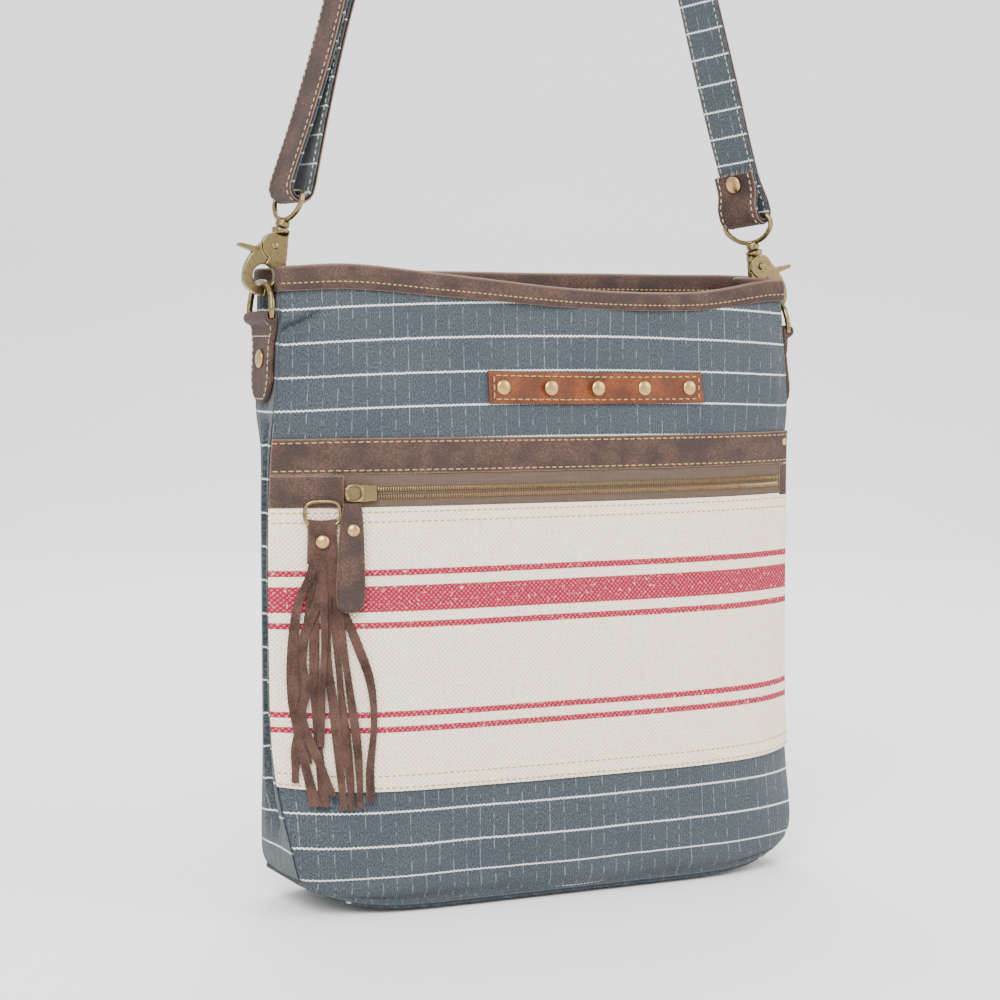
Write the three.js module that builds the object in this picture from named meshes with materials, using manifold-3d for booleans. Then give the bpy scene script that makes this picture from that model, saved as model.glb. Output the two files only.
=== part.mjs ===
// A shoulder bag in striped denim with a leather bound mouth, a zipped canvas pocket, a suede
// tassel and a long strap on two swivel hooks. Millimetres, +Z up, the front faces -Y.
// The bag is drawn standing on z = 0 and then hung from the top of its strap.
import * as THREE from "three";
import * as BufferGeometryUtils from "three/addons/utils/BufferGeometryUtils.js";
import Module from "manifold-3d";

const wasm = await Module();
wasm.setup();

// Bag body
const bagWidth = 300;
const bagHeight = 318;
const baseDepth = 86;
const wall = 1.6;
const seamGap = 0.3;
const cornerLift = 12;
const liftStart = 0.5;
const mouthDip = 10.5;
const foldDepth = 26;
const foldShare = 2 / 3;
const columnCount = 12;
const rowStep = 36;
const gussetColumns = 6;
const baseRows = 4;

// Leather and canvas on the front
const leather = 1.3;
const rimHeight = 10.5;
const bandDrop = 101;
const bandLow = bagHeight - bandDrop;
const bandHeight = 18;
const canvasLow = 60;
const zipWidth = 16.5;
const canvasHigh = bandLow - zipWidth;
const canvasThickness = 1.2;
const patchWidth = bagWidth * 0.417;
const patchLeft = bagWidth * 0.082 - patchWidth / 2;
const patchDrop = 66;
const patchLow = bagHeight - patchDrop;
const patchHeight = 17.5;
const patchThickness = 1.8;
const patchRivets = 5;
const rivetEnd = 8;

// Zip
const zipCentre = bandLow - 9.4;
const teethWidth = 6;
const teethThickness = 1.6;
const tapeThickness = 0.7;
const sliderPlace = -bagWidth / 2 + 43;
const sliderLength = 15;
const sliderWidth = 9;
const sliderThickness = 3.2;
const endPatchWidth = 34;
const stopWidth = 7;
const bailWire = 0.9;
const bailWidth = 8;
const bailHeight = 7.5;
const pullWidth = 13.5;
const pullTopWidth = 8;
const pullLength = 54;
const pullThickness = 3;
const pullPlace = sliderPlace - 5;

// Tassel
const tasselPlace = sliderPlace - 19;
const tasselTop = canvasHigh - 5.5;
const headWidth = 14;
const headHeight = 22;
const headThickness = 4.6;
const tasselLength = 142;
const stripThickness = 1.3;
const stripSpread = 1.8;
const tasselWire = 0.9;
const tasselRingWidth = 16.5;
const tasselRingHeight = 11.5;

// Side tabs and D-rings
const ringWire = 1.75;
const ringWidth = 31;
const ringHeight = 17.5;
const tabWidth = 27;
const tabFlare = 33;
const tabLength = 42;
const tabThickness = 2.6;
const leftBar = bagHeight - 23.5;
const rightBarDrop = 6;
const tabSeat = 0.8;

// Swivel hooks, in a plane with "out" away from the bag and "up" along the hook
const hookTilt = THREE.MathUtils.degToRad(15.5);
const hookThickness = 4.4;
const hookGap = 0.3;
const plateRadius = 6.8;
const pinRadius = 1.2;
const pinHeadRadius = 1.9;
const pinHeadHeight = 0.8;
const pivotOut = 1.5;
const pivotUp = -7.7;
const holeOut = 3.4;
const holeUp = -23.5;
const holeRadius = 5.8;
const ringSeatOut = 3.0;
const ringSeatUp = -26.7;
const jawMeet = 1.5;
const collarRadius = 4.7;
const collarHeight = 2.4;
const swivelRadius = 3.6;
const swivelHeight = 3.4;
const eyeWire = 1.5;
const eyeHeight = 14;
const eyeSide = 1.4;

// Strap
const strapWidth = 25;
const strapLeather = 1.4;
const strapDenim = 1.2;
const loopRadius = 4.4;
const loopRest = 0.6;
const topBend = 22;
const slideHeight = 150;
const slidePitch = 16;
const slideWire = 1.5;
const barPass = 3.6;
const endLength = 24;
const leftTwist = THREE.MathUtils.degToRad(5);
const rightTwist = THREE.MathUtils.degToRad(22);
const twistHold = 160;
const twistEnd = 400;

// Rivets
const smallRivet = 3.9;
const largeRivet = 4.6;
const rivetHeight = 1.5;

// Level sections of the bag. height is a share of bagHeight; width, shift of bagWidth / 2;
// edge and belly are half depths at the side seams and in the middle, shares of baseDepth / 2;
// flat is the power of the front's curve; fold is how far the gusset is folded in.
const SECTIONS = [
  { height: 0.0, width: 0.925, shift: 0, edge: 0.55, belly: 0.93, flat: 6, fold: 0 },
  { height: 0.03, width: 0.952, shift: 0, edge: 0.6, belly: 1.0, flat: 6, fold: 0 },
  { height: 0.08, width: 0.966, shift: 0, edge: 0.53, belly: 1.0, flat: 6, fold: 0.05 },
  { height: 0.15, width: 0.982, shift: 0, edge: 0.36, belly: 0.98, flat: 5.5, fold: 0.4 },
  { height: 0.25, width: 0.995, shift: 0, edge: 0.2, belly: 0.92, flat: 5, fold: 0.9 },
  { height: 0.4, width: 1.0, shift: 0, edge: 0.15, belly: 0.8, flat: 4.5, fold: 1 },
  { height: 0.63, width: 1.0, shift: 0, edge: 0.15, belly: 0.62, flat: 4, fold: 1 },
  { height: 0.72, width: 0.995, shift: 0, edge: 0.19, belly: 0.57, flat: 4, fold: 0.7 },
  { height: 0.78, width: 0.988, shift: -0.008, edge: 0.32, belly: 0.54, flat: 4, fold: 0 },
  { height: 0.84, width: 0.975, shift: -0.014, edge: 0.39, belly: 0.52, flat: 4, fold: 0 },
  { height: 0.92, width: 0.962, shift: -0.02, edge: 0.41, belly: 0.5, flat: 4, fold: 0.3 },
  { height: 0.95, width: 0.958, shift: -0.022, edge: 0.415, belly: 0.495, flat: 4, fold: 0.6 },
  { height: 1.0, width: 0.953, shift: -0.024, edge: 0.42, belly: 0.49, flat: 4, fold: 0.76 },
];

// How far the front of the mouth sinks, as a share of mouthDip, from left to right.
const MOUTH = [
  { across: -1.0, dip: 0.0 },
  { across: -0.77, dip: -0.18 },
  { across: -0.43, dip: 0.2 },
  { across: 0.1, dip: 0.88 },
  { across: 0.6, dip: 1.0 },
  { across: 0.93, dip: 0.35 },
  { across: 1.0, dip: 0.28 },
];

// Strips of the tassel: start and end across the head, as shares of headWidth, how far the end
// hangs, as a share of tasselLength, the strip's width and its layer from the bag outwards.
const STRIPS = [
  { start: -0.34, end: -1.3, hang: 0.88, width: 5.0, layer: 0 },
  { start: -0.3, end: -0.75, hang: 0.99, width: 4.6, layer: 2 },
  { start: -0.16, end: -0.25, hang: 0.97, width: 5.0, layer: 1 },
  { start: 0.0, end: 0.12, hang: 0.98, width: 5.4, layer: 2 },
  { start: 0.1, end: 0.62, hang: 1.0, width: 5.0, layer: 0 },
  { start: 0.2, end: 0.95, hang: 1.0, width: 4.8, layer: 1 },
  { start: 0.24, end: 1.3, hang: 0.99, width: 4.4, layer: 2 },
  { start: 0.38, end: 2.2, hang: 0.96, width: 4.6, layer: 0 },
];

// Finishes
const finish = (color, roughness, metalness) =>
  new THREE.MeshStandardMaterial({ color, roughness, metalness });
const denimFinish = finish(0x5f6c76, 0.9, 0);
const brownFinish = finish(0x6e5248, 0.7, 0);
const tanFinish = finish(0xb06032, 0.5, 0);
const canvasFinish = finish(0xece2d2, 0.95, 0);
const tapeFinish = finish(0x967d64, 0.85, 0);
const suedeFinish = finish(0x664c44, 0.95, 0);
const brassFinish = finish(0x9c8b5e, 0.4, 0.9);
const rivetFinish = finish(0xc8a56e, 0.35, 0.9);

const bag = new THREE.Group();

// Adds a named piece to the bag. The shared corners of its geometry are merged.
function addPiece(name, geometry, material, holder = bag) {
  const plain = geometry.clone();
  for (const attribute of Object.keys(plain.attributes)) {
    if (attribute !== "position") plain.deleteAttribute(attribute);
  }
  const mesh = new THREE.Mesh(BufferGeometryUtils.mergeVertices(plain, 1e-4), material);
  mesh.name = name;
  holder.add(mesh);
  return mesh;
}

// Value of one column of a table at a place, on a smooth curve through its rows.
function along(table, key, column, place) {
  let i = 0;
  while (i < table.length - 2 && place > table[i + 1][key]) i += 1;
  const slope = (j) => {
    const before = table[Math.max(j - 1, 0)];
    const after = table[Math.min(j + 1, table.length - 1)];
    return (after[column] - before[column]) / (after[key] - before[key]);
  };
  const span = table[i + 1][key] - table[i][key];
  const f = THREE.MathUtils.clamp((place - table[i][key]) / span, 0, 1);
  const rise = table[i + 1][column] - table[i][column];
  const bend = f * (1 - f) * span * ((1 - f) * slope(i) - f * slope(i + 1));
  return table[i][column] + rise * (3 * f * f - 2 * f ** 3) + bend;
}

const section = (column, t) => along(SECTIONS, "height", column, t);
const halfWidth = (t) => (bagWidth / 2) * section("width", t);
const centreLine = (t) => (bagWidth / 2) * section("shift", t);
const edgeDepth = (t) => (baseDepth / 2) * section("edge", t);

function halfDepth(s, t) {
  const edge = edgeDepth(t);
  const belly = (baseDepth / 2) * section("belly", t);
  return edge + (belly - edge) * (1 - Math.abs(s) ** section("flat", t));
}

// The short ends of the base curl up off the ground.
function baseLift(s, t) {
  const reach = Math.max(0, (Math.abs(s) - liftStart) / (1 - liftStart));
  return cornerLift * reach ** 3 * Math.max(0, 1 - 3 * t) ** 2;
}

const mouthSink = (s, t) => mouthDip * along(MOUTH, "across", "dip", s) * t ** 8;

// Outer face of the front (face -1) or the back (face 1), s across and t up, both as shares.
function wallPoint(face, s, t) {
  const dip = face < 0 ? mouthSink(s, t) : 0;
  return new THREE.Vector3(
    centreLine(t) + halfWidth(t) * s,
    face * halfDepth(s, t),
    bagHeight * t + baseLift(s, t) - dip,
  );
}

const frontWall = (s, t) => wallPoint(-1, s, t);
const backWall = (s, t) => wallPoint(1, -s, t);

// Outer face of a gusset (side -1 left, 1 right), v from one seam to the other. Where the bag is
// pinched it folds inwards between the front and the back.
function gussetWall(side) {
  return (v, t) => {
    const fold = foldDepth * Math.max(0, section("fold", t));
    const edge = edgeDepth(t);
    const y = side * v * (edge - wall - seamGap);
    const inward = fold * Math.max(0, 1 - Math.abs(v) / foldShare);
    const x = centreLine(t) + side * (halfWidth(t) - inward);
    const dip = mouthSink(side, t) * (0.5 - y / (2 * edge));
    return new THREE.Vector3(x, y, bagHeight * t + baseLift(1, t) - dip);
  };
}

const baseWall = (s, v) =>
  new THREE.Vector3(halfWidth(0) * s, -v * halfDepth(s, 0), baseLift(s, 0));

function normalOf(surface, u, v) {
  const step = 1e-3;
  const clamp = (w) => THREE.MathUtils.clamp(w, -1, 1);
  const across = surface(clamp(u + step), v).sub(surface(clamp(u - step), v));
  const up = surface(u, clamp(v + step)).sub(surface(u, clamp(v - step)));
  return across.cross(up).normalize();
}

// A closed mesh from points and faces, turned so that its faces point out.
function closedMesh(points, faces) {
  let volume = 0;
  for (const [a, b, c] of faces) volume += points[a].dot(points[b].clone().cross(points[c]));
  const index = faces.flatMap(([a, b, c]) => (volume < 0 ? [a, c, b] : [a, b, c]));
  const geometry = new THREE.BufferGeometry();
  geometry.setAttribute(
    "position",
    new THREE.Float32BufferAttribute(points.flatMap((p) => p.toArray()), 3),
  );
  geometry.setIndex(index);
  return geometry;
}

// A sheet between two offsets of a surface, on a grid of us by vs.
function sheet(surface, us, vs, low, high) {
  const points = [];
  for (const offset of [low, high]) {
    for (const v of vs) {
      for (const u of us) {
        points.push(surface(u, v).addScaledVector(normalOf(surface, u, v), offset));
      }
    }
  }
  const half = us.length * vs.length;
  const at = (i, j) => j * us.length + i;
  const faces = [];
  const quad = (a, b, c, d) => faces.push([a, b, c], [a, c, d]);
  for (let j = 0; j + 1 < vs.length; j += 1) {
    for (let i = 0; i + 1 < us.length; i += 1) {
      const corners = [at(i, j), at(i + 1, j), at(i + 1, j + 1), at(i, j + 1)];
      const [a, b, c, d] = corners;
      quad(a + half, b + half, c + half, d + half);
      quad(a, d, c, b);
    }
  }
  const rimIndex = [
    ...us.map((_, i) => at(i, 0)),
    ...vs.slice(1).map((_, j) => at(us.length - 1, j + 1)),
    ...us.slice(1).map((_, i) => at(us.length - 2 - i, vs.length - 1)),
    ...vs.slice(2).map((_, j) => at(0, vs.length - 2 - j)),
  ];
  rimIndex.forEach((a, k) => {
    const b = rimIndex[(k + 1) % rimIndex.length];
    quad(a, b, b + half, a + half);
  });
  return closedMesh(points, faces);
}

// A closed mesh through rings of points with the same count; the ends are capped or joined.
function loft(rings, joined = false) {
  const count = rings[0].length;
  const points = rings.flat();
  const faces = [];
  const last = joined ? rings.length : rings.length - 1;
  for (let r = 0; r < last; r += 1) {
    const next = (r + 1) % rings.length;
    for (let k = 0; k < count; k += 1) {
      const a = r * count + k;
      const b = r * count + ((k + 1) % count);
      const c = next * count + ((k + 1) % count);
      const d = next * count + k;
      if (2 * k < count) faces.push([a, b, c], [a, c, d]);
      else faces.push([a, b, d], [b, c, d]);
    }
  }
  if (!joined) {
    const end = (rings.length - 1) * count;
    for (let k = 1; k + 1 < count; k += 1) {
      faces.push([0, k + 1, k], [end, end + k, end + k + 1]);
    }
  }
  return closedMesh(points, faces);
}

// Grid lines: the given marks, with even steps between them.
function gridLines(marks, step) {
  const lines = [];
  for (let i = 0; i + 1 < marks.length; i += 1) {
    const count = Math.max(1, Math.round((marks[i + 1] - marks[i]) / step));
    for (let k = 0; k < count; k += 1) {
      lines.push(marks[i] + ((marks[i + 1] - marks[i]) * k) / count);
    }
  }
  lines.push(marks[marks.length - 1]);
  return lines;
}

const within = (lines, low, high) => lines.filter((v) => v > low - 1e-9 && v < high + 1e-9);
const share = (height) => height / bagHeight;
const acrossAt = (x, z) => (x - centreLine(share(z))) / halfWidth(share(z));

// Marks that the front's layers share, so that they lie on each other without cutting in
const patchMiddle = patchLow + patchHeight / 2;
const marksAcross = [
  acrossAt(patchLeft, patchMiddle),
  acrossAt(patchLeft + patchWidth, patchMiddle),
  -1 + endPatchWidth / halfWidth(share(zipCentre)),
  -1 + (endPatchWidth + seamGap) / halfWidth(share(zipCentre)),
  1 - (stopWidth + seamGap) / halfWidth(share(zipCentre)),
  1 - stopWidth / halfWidth(share(zipCentre)),
];
const evenColumns = Array.from({ length: columnCount + 1 }, (_, i) =>
  Math.sin(Math.PI * (i / columnCount - 0.5)),
);
const nearMark = (s) => marksAcross.some((mark) => Math.abs(mark - s) < 0.02);
const columns = [...evenColumns.filter((s) => !nearMark(s)), ...marksAcross].sort((a, b) => a - b);
const bottomShare = share(wall + seamGap);
const rimLow = share(bagHeight - rimHeight);
const frontRows = gridLines(
  [
    bottomShare,
    share(canvasLow),
    share(canvasHigh),
    share(canvasHigh + seamGap),
    share(zipCentre - teethWidth / 2),
    share(zipCentre + teethWidth / 2),
    share(bandLow - seamGap),
    share(bandLow),
    share(bandLow + bandHeight),
    share(patchLow),
    share(patchLow + patchHeight),
    rimLow,
    1,
  ],
  share(rowStep),
);
const evenSteps = (count) => Array.from({ length: count + 1 }, (_, i) => -1 + (2 * i) / count);

function addLayer(name, s0, s1, z0, z1, low, high, material) {
  const us = within(columns, s0, s1);
  const vs = within(frontRows, share(z0), share(z1));
  return addPiece(name, sheet(frontWall, us, vs, low, high), material);
}

function buildBody() {
  addPiece("front_panel", sheet(frontWall, columns, frontRows, -wall, 0), denimFinish);
  addPiece("back_panel", sheet(backWall, evenColumns, frontRows, -wall, 0), denimFinish);
  const folds = evenSteps(gussetColumns);
  addPiece("gusset_left", sheet(gussetWall(-1), folds, frontRows, -wall, 0), denimFinish);
  addPiece("gusset_right", sheet(gussetWall(1), folds, frontRows, -wall, 0), denimFinish);
  addPiece("base_panel", sheet(baseWall, evenColumns, evenSteps(baseRows), -wall, 0), denimFinish);
}

// Level loop round the outside of the bag at a share of its height.
function mouthLoop(t) {
  const front = columns.map((s) => frontWall(s, t));
  const back = evenColumns.map((s) => backWall(s, t));
  const inside = evenSteps(gussetColumns).slice(1, -1);
  const right = inside.map((v) => gussetWall(1)(v, t));
  const left = inside.map((v) => gussetWall(-1)(v, t));
  return [...front, ...right, ...back, ...left];
}

// Moves a level loop outwards, with its corners kept.
function offsetLoop(points, distance, rise) {
  const count = points.length;
  return points.map((point, i) => {
    const before = points[(i + count - 1) % count];
    const after = points[(i + 1) % count];
    const n1 = new THREE.Vector2(point.y - before.y, before.x - point.x).normalize();
    const n2 = new THREE.Vector2(after.y - point.y, point.x - after.x).normalize();
    const out = n1.clone().add(n2).multiplyScalar(distance / (1 + n1.dot(n2)));
    return new THREE.Vector3(point.x + out.x, point.y + out.y, point.z + rise);
  });
}

// Leather folded over the edge of the mouth, a U in section.
function buildRim() {
  const low = mouthLoop(rimLow);
  const top = mouthLoop(1);
  const outer = [seamGap, seamGap + leather];
  const inner = [-(wall + seamGap), -(wall + seamGap + leather)];
  const loops = [
    offsetLoop(low, outer[0], 0),
    offsetLoop(low, outer[1], 0),
    offsetLoop(top, outer[1], seamGap + leather),
    offsetLoop(top, inner[1], seamGap + leather),
    offsetLoop(low, inner[1], 0),
    offsetLoop(low, inner[0], 0),
    offsetLoop(top, inner[0], seamGap),
    offsetLoop(top, outer[0], seamGap),
  ];
  const rings = low.map((_, i) => loops.map((loop) => loop[i]));
  addPiece("rim_binding", loft(rings, true), brownFinish);
}

// Dome-headed rivet lying on a surface: base is the point that its rim sits over.
function addRivet(name, base, normal, radius, holder = bag) {
  const profile = [
    new THREE.Vector2(0, 0),
    new THREE.Vector2(radius, 0),
    new THREE.Vector2(radius * 0.94, rivetHeight * 0.5),
    new THREE.Vector2(radius * 0.66, rivetHeight * 0.87),
    new THREE.Vector2(0, rivetHeight),
  ];
  const mesh = addPiece(name, new THREE.LatheGeometry(profile, 8), rivetFinish, holder);
  mesh.position.copy(base).addScaledVector(normal, seamGap);
  mesh.quaternion.setFromUnitVectors(new THREE.Vector3(0, 1, 0), normal);
  return mesh;
}

// Point and normal of the front at a place seen from the front, raised by an offset.
function onFront(x, z, offset) {
  const s = acrossAt(x, z);
  const normal = normalOf(frontWall, s, share(z));
  return { point: frontWall(s, share(z)).addScaledVector(normal, offset), normal };
}

function buildFront() {
  const low = seamGap;
  addLayer("zip_band", -1, 1, bandLow, bandLow + bandHeight, low, low + leather, brownFinish);
  addLayer("canvas_panel", -1, 1, canvasLow, canvasHigh, low, low + canvasThickness, canvasFinish);
  const [patchStart, patchEnd, patchStop, tapeStart, tapeEnd, stopStart] = marksAcross;
  addLayer("tan_patch", patchStart, patchEnd, patchLow, patchLow + patchHeight, low,
    low + patchThickness, tanFinish);
  const tapeLow = canvasHigh + seamGap;
  const tapeHigh = bandLow - seamGap;
  addLayer("zip_end_left", -1, patchStop, tapeLow, tapeHigh, low, low + leather, brownFinish);
  addLayer("zip_end_right", stopStart, 1, tapeLow, tapeHigh, low, low + leather, brownFinish);
  addLayer("zip_tape", tapeStart, tapeEnd, tapeLow, tapeHigh, low, low + tapeThickness, tapeFinish);
  const pitch = (patchWidth - 2 * rivetEnd) / (patchRivets - 1);
  for (let i = 0; i < patchRivets; i += 1) {
    const x = patchLeft + rivetEnd + pitch * i;
    const { point, normal } = onFront(x, patchMiddle, low + patchThickness);
    addRivet(`patch_rivet_${i + 1}`, point, normal, smallRivet);
  }
}

function buildZip() {
  const teethLow = seamGap + tapeThickness + seamGap;
  const teethTop = teethLow + teethThickness;
  const tapeEnd = marksAcross[4];
  const sliderEnd = acrossAt(sliderPlace + sliderLength / 2 + seamGap, zipCentre);
  const us = [sliderEnd, ...within(columns, sliderEnd + 0.01, tapeEnd)];
  const vs = within(
    frontRows,
    share(zipCentre - teethWidth / 2),
    share(zipCentre + teethWidth / 2),
  );
  addPiece("zip_teeth", sheet(frontWall, us, vs, teethLow, teethTop), brassFinish);
  const seat = onFront(sliderPlace, zipCentre, teethLow);
  const holder = new THREE.Group();
  holder.position.copy(seat.point);
  holder.quaternion.setFromUnitVectors(new THREE.Vector3(0, -1, 0), seat.normal);
  bag.add(holder);
  const outline = new THREE.Shape();
  outline.moveTo(-sliderLength / 2, -sliderWidth * 0.3);
  outline.lineTo(-sliderLength * 0.2, -sliderWidth / 2);
  outline.lineTo(sliderLength / 2, -sliderWidth * 0.42);
  outline.lineTo(sliderLength / 2, sliderWidth * 0.42);
  outline.lineTo(-sliderLength * 0.2, sliderWidth / 2);
  outline.lineTo(-sliderLength / 2, sliderWidth * 0.3);
  const body = new THREE.ExtrudeGeometry(outline, { depth: sliderThickness, bevelEnabled: false });
  body.rotateX(Math.PI / 2);
  addPiece("zip_slider", body, brassFinish, holder);
  const bailShape = wireRing(roundedBox(bailWidth, bailHeight), bailWire, 16, 6);
  const bail = addPiece("zip_bail", bailShape, brassFinish, holder);
  bail.position.set(-bailWidth / 2, -(sliderThickness + bailWire + seamGap), -bailHeight / 2);
}

// Wire ring along a closed curve.
function wireRing(points, radius, steps, sides) {
  const curve = new THREE.CatmullRomCurve3(points, true, "catmullrom", 0.5);
  return new THREE.TubeGeometry(curve, steps, radius, sides, true);
}

function roundedBox(width, height) {
  return [
    [-0.5, 0.3], [-0.5, 0.7], [-0.3, 1], [0.3, 1], [0.5, 0.7], [0.5, 0.3], [0.3, 0], [-0.3, 0],
  ].map(([x, z]) => new THREE.Vector3(x * width, 0, z * height));
}

// Flat hanging piece in front of the bag: outline in x and z, laid along the wall.
function hanging(rows, thickness, offset) {
  const rings = rows.map(({ x0, x1, z, lift = 0 }) => {
    const at = (x, out) => {
      const { point, normal } = onFront(x, z, 0);
      return new THREE.Vector3(x, point.y - offset / Math.abs(normal.y) - lift - out, z);
    };
    return [at(x0, 0), at(x1, 0), at(x1, thickness), at(x0, thickness)];
  });
  return loft(rings);
}

const frontOffset = seamGap + canvasThickness + seamGap;

function buildPull() {
  const top = zipCentre - sliderWidth / 2 - seamGap;
  const offset = frontOffset + stripThickness + 4 * seamGap;
  const rows = [
    { at: 0, wide: pullTopWidth / pullWidth },
    { at: 0.3, wide: 0.86 },
    { at: 0.7, wide: 0.98 },
    { at: 0.86, wide: 1 },
    { at: 0.94, wide: 0.8 },
    { at: 1, wide: 0.4 },
  ].map(({ at, wide }) => ({
    x0: pullPlace - (pullWidth * wide) / 2,
    x1: pullPlace + (pullWidth * wide) / 2,
    z: top - pullLength * at,
  }));
  addPiece("zip_pull", hanging(rows, pullThickness, offset), brownFinish);
  const rivetHeightPlace = top - pullLength * 0.25;
  const seat = onFront(pullPlace, rivetHeightPlace, offset + pullThickness);
  addRivet("zip_pull_rivet", seat.point, seat.normal, smallRivet * 0.8);
}

function toSolid(geometry) {
  const plain = geometry.clone();
  for (const attribute of Object.keys(plain.attributes)) {
    if (attribute !== "position") plain.deleteAttribute(attribute);
  }
  const merged = BufferGeometryUtils.mergeVertices(plain, 1e-4);
  return new wasm.Manifold(
    new wasm.Mesh({
      numProp: 3,
      vertProperties: new Float32Array(merged.attributes.position.array),
      triVerts: new Uint32Array(merged.index.array),
    }),
  );
}

function fromSolid(solid) {
  const mesh = solid.getMesh();
  const geometry = new THREE.BufferGeometry();
  const position = new Float32Array(mesh.numVert * 3);
  for (let i = 0; i < mesh.numVert; i += 1) {
    for (let k = 0; k < 3; k += 1) {
      position[3 * i + k] = mesh.vertProperties[i * mesh.numProp + k];
    }
  }
  geometry.setAttribute("position", new THREE.BufferAttribute(position, 3));
  geometry.setIndex(new THREE.BufferAttribute(new Uint32Array(mesh.triVerts), 1));
  return geometry;
}

// Leather head with its strips, in one solid that hangs down the front.
function buildTassel() {
  const offset = frontOffset + seamGap;
  const headRows = [0, 1].map((at) => ({
    x0: tasselPlace - headWidth / 2,
    x1: tasselPlace + headWidth / 2,
    z: tasselTop - headHeight * at,
  }));
  let tassel = toSolid(hanging(headRows, headThickness, offset));
  for (const strip of STRIPS) {
    const rows = [0.1, 0.25, 0.4, 0.6, 0.8, 1].map((at) => {
      const drift = THREE.MathUtils.lerp(strip.start, strip.end, Math.max(0, at - 0.1) ** stripSpread);
      const x = tasselPlace + headWidth * drift;
      return {
        x0: x - strip.width / 2,
        x1: x + strip.width / 2,
        z: tasselTop - tasselLength * strip.hang * at,
        lift: strip.layer * stripThickness,
      };
    });
    tassel = tassel.add(toSolid(hanging(rows, stripThickness * 1.05, offset)));
  }
  const [whole] = tassel.decompose().sort((a, b) => b.volume() - a.volume());
  addPiece("tassel", fromSolid(whole), suedeFinish);
  const seat = onFront(tasselPlace, tasselTop - headHeight / 2, offset + headThickness);
  addRivet("tassel_rivet", seat.point, seat.normal, smallRivet * 0.85);
  const ring = addPiece(
    "tassel_ring",
    wireRing(roundedBox(tasselRingWidth, tasselRingHeight), tasselWire, 16, 6),
    brassFinish,
  );
  ring.position.set(tasselPlace, seat.point.y, tasselTop + tasselWire + seamGap);
}

// D-ring in its own YZ plane, its bar along the bottom at the origin.
function ringPoints() {
  const half = ringWidth / 2;
  return [
    [-half, 0], [-half * 0.5, 0], [half * 0.5, 0], [half, 0], [half * 1.0, ringHeight * 0.45],
    [half * 0.72, ringHeight * 0.85], [0, ringHeight], [-half * 0.72, ringHeight * 0.85],
    [-half * 1.0, ringHeight * 0.45],
  ].map(([y, z]) => new THREE.Vector3(0, y, z));
}

const ringGeometry = (radius) => wireRing(ringPoints(), radius, 22, 6);

// Leather tab that folds over the ring's bar; its inner face lies at x = 0, out is +x.
function tabGeometry() {
  const outline = new THREE.Shape();
  const half = tabWidth / 2;
  const turn = half * 0.98;
  outline.moveTo(-tabFlare / 2, 0);
  outline.quadraticCurveTo(-tabFlare / 2, -tabLength * 0.16, -half, -tabLength * 0.3);
  outline.lineTo(-half, -tabLength + turn);
  outline.absarc(0, -tabLength + turn, half, Math.PI, 2 * Math.PI, false);
  outline.lineTo(half, -tabLength * 0.3);
  outline.quadraticCurveTo(tabFlare / 2, -tabLength * 0.16, tabFlare / 2, 0);
  const flat = new THREE.ExtrudeGeometry(outline, {
    depth: tabThickness,
    bevelEnabled: false,
    curveSegments: 6,
  });
  flat.applyMatrix4(
    new THREE.Matrix4().makeBasis(
      new THREE.Vector3(0, 1, 0),
      new THREE.Vector3(0, 0, 1),
      new THREE.Vector3(1, 0, 0),
    ),
  );
  const loopRadiusOut = ringWire + seamGap + leather;
  const roll = new THREE.CylinderGeometry(loopRadiusOut, loopRadiusOut, tabFlare, 16);
  roll.translate(ringSeatX(), 0, 0);
  const cut = ringGeometry(ringWire + seamGap);
  cut.translate(ringSeatX(), 0, 0);
  return fromSolid(toSolid(flat).add(toSolid(roll)).subtract(toSolid(cut)));
}

const ringSeatX = () => ringWire + seamGap + leather;

// Side tab, D-ring and rivet on one side of the bag.
function buildTab(side, sideName, barHeight) {
  const face = (z) => halfWidth(share(z)) + side * centreLine(share(z));
  const low = barHeight - tabLength;
  const lean = Math.atan((face(low) - face(barHeight)) / tabLength);
  const holder = new THREE.Group();
  const tilt = new THREE.Group();
  holder.position.set(side * (face(low) + tabSeat), 0, low);
  holder.rotation.z = side < 0 ? Math.PI : 0;
  bag.add(holder);
  tilt.rotation.y = -lean;
  holder.add(tilt);
  const seat = new THREE.Group();
  seat.position.z = tabLength;
  tilt.add(seat);
  addPiece(`side_tab_${sideName}`, tabGeometry(), brownFinish, seat);
  const ring = addPiece(`d_ring_${sideName}`, ringGeometry(ringWire), brassFinish, seat);
  ring.position.x = ringSeatX();
  const out = new THREE.Vector3(1, 0, 0);
  const rivetSeat = new THREE.Vector3(tabThickness, 0, -tabLength * 0.48);
  addRivet(`tab_rivet_${sideName}`, rivetSeat, out, largeRivet, seat);
  bag.updateMatrixWorld(true);
  return ring.localToWorld(new THREE.Vector3(0, 0, ringHeight));
}

// Plane of a hook: "out" is x and "up" is y of the outline; its thickness is centred on y = 0.
function hookPlate(outline, low, high) {
  const plate = new THREE.ExtrudeGeometry(outline, {
    depth: high - low,
    bevelEnabled: false,
    curveSegments: 6,
  });
  plate.translate(0, 0, low);
  plate.applyMatrix4(
    new THREE.Matrix4().makeBasis(
      new THREE.Vector3(1, 0, 0),
      new THREE.Vector3(0, 0, 1),
      new THREE.Vector3(0, -1, 0),
    ),
  );
  return toSolid(plate);
}

function hookDisc(radius, low, high, out = pivotOut, up = pivotUp) {
  const circle = new THREE.Shape();
  circle.absarc(out, up, radius, 0, 2 * Math.PI, false);
  return hookPlate(circle, low, high);
}

const half = hookThickness / 2;
const innerFace = hookGap / 2;

// Point of the hook's hole at an angle from straight down, towards "out".
function onHole(angle) {
  return [holeOut + holeRadius * Math.sin(angle), holeUp - holeRadius * Math.cos(angle)];
}

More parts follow.
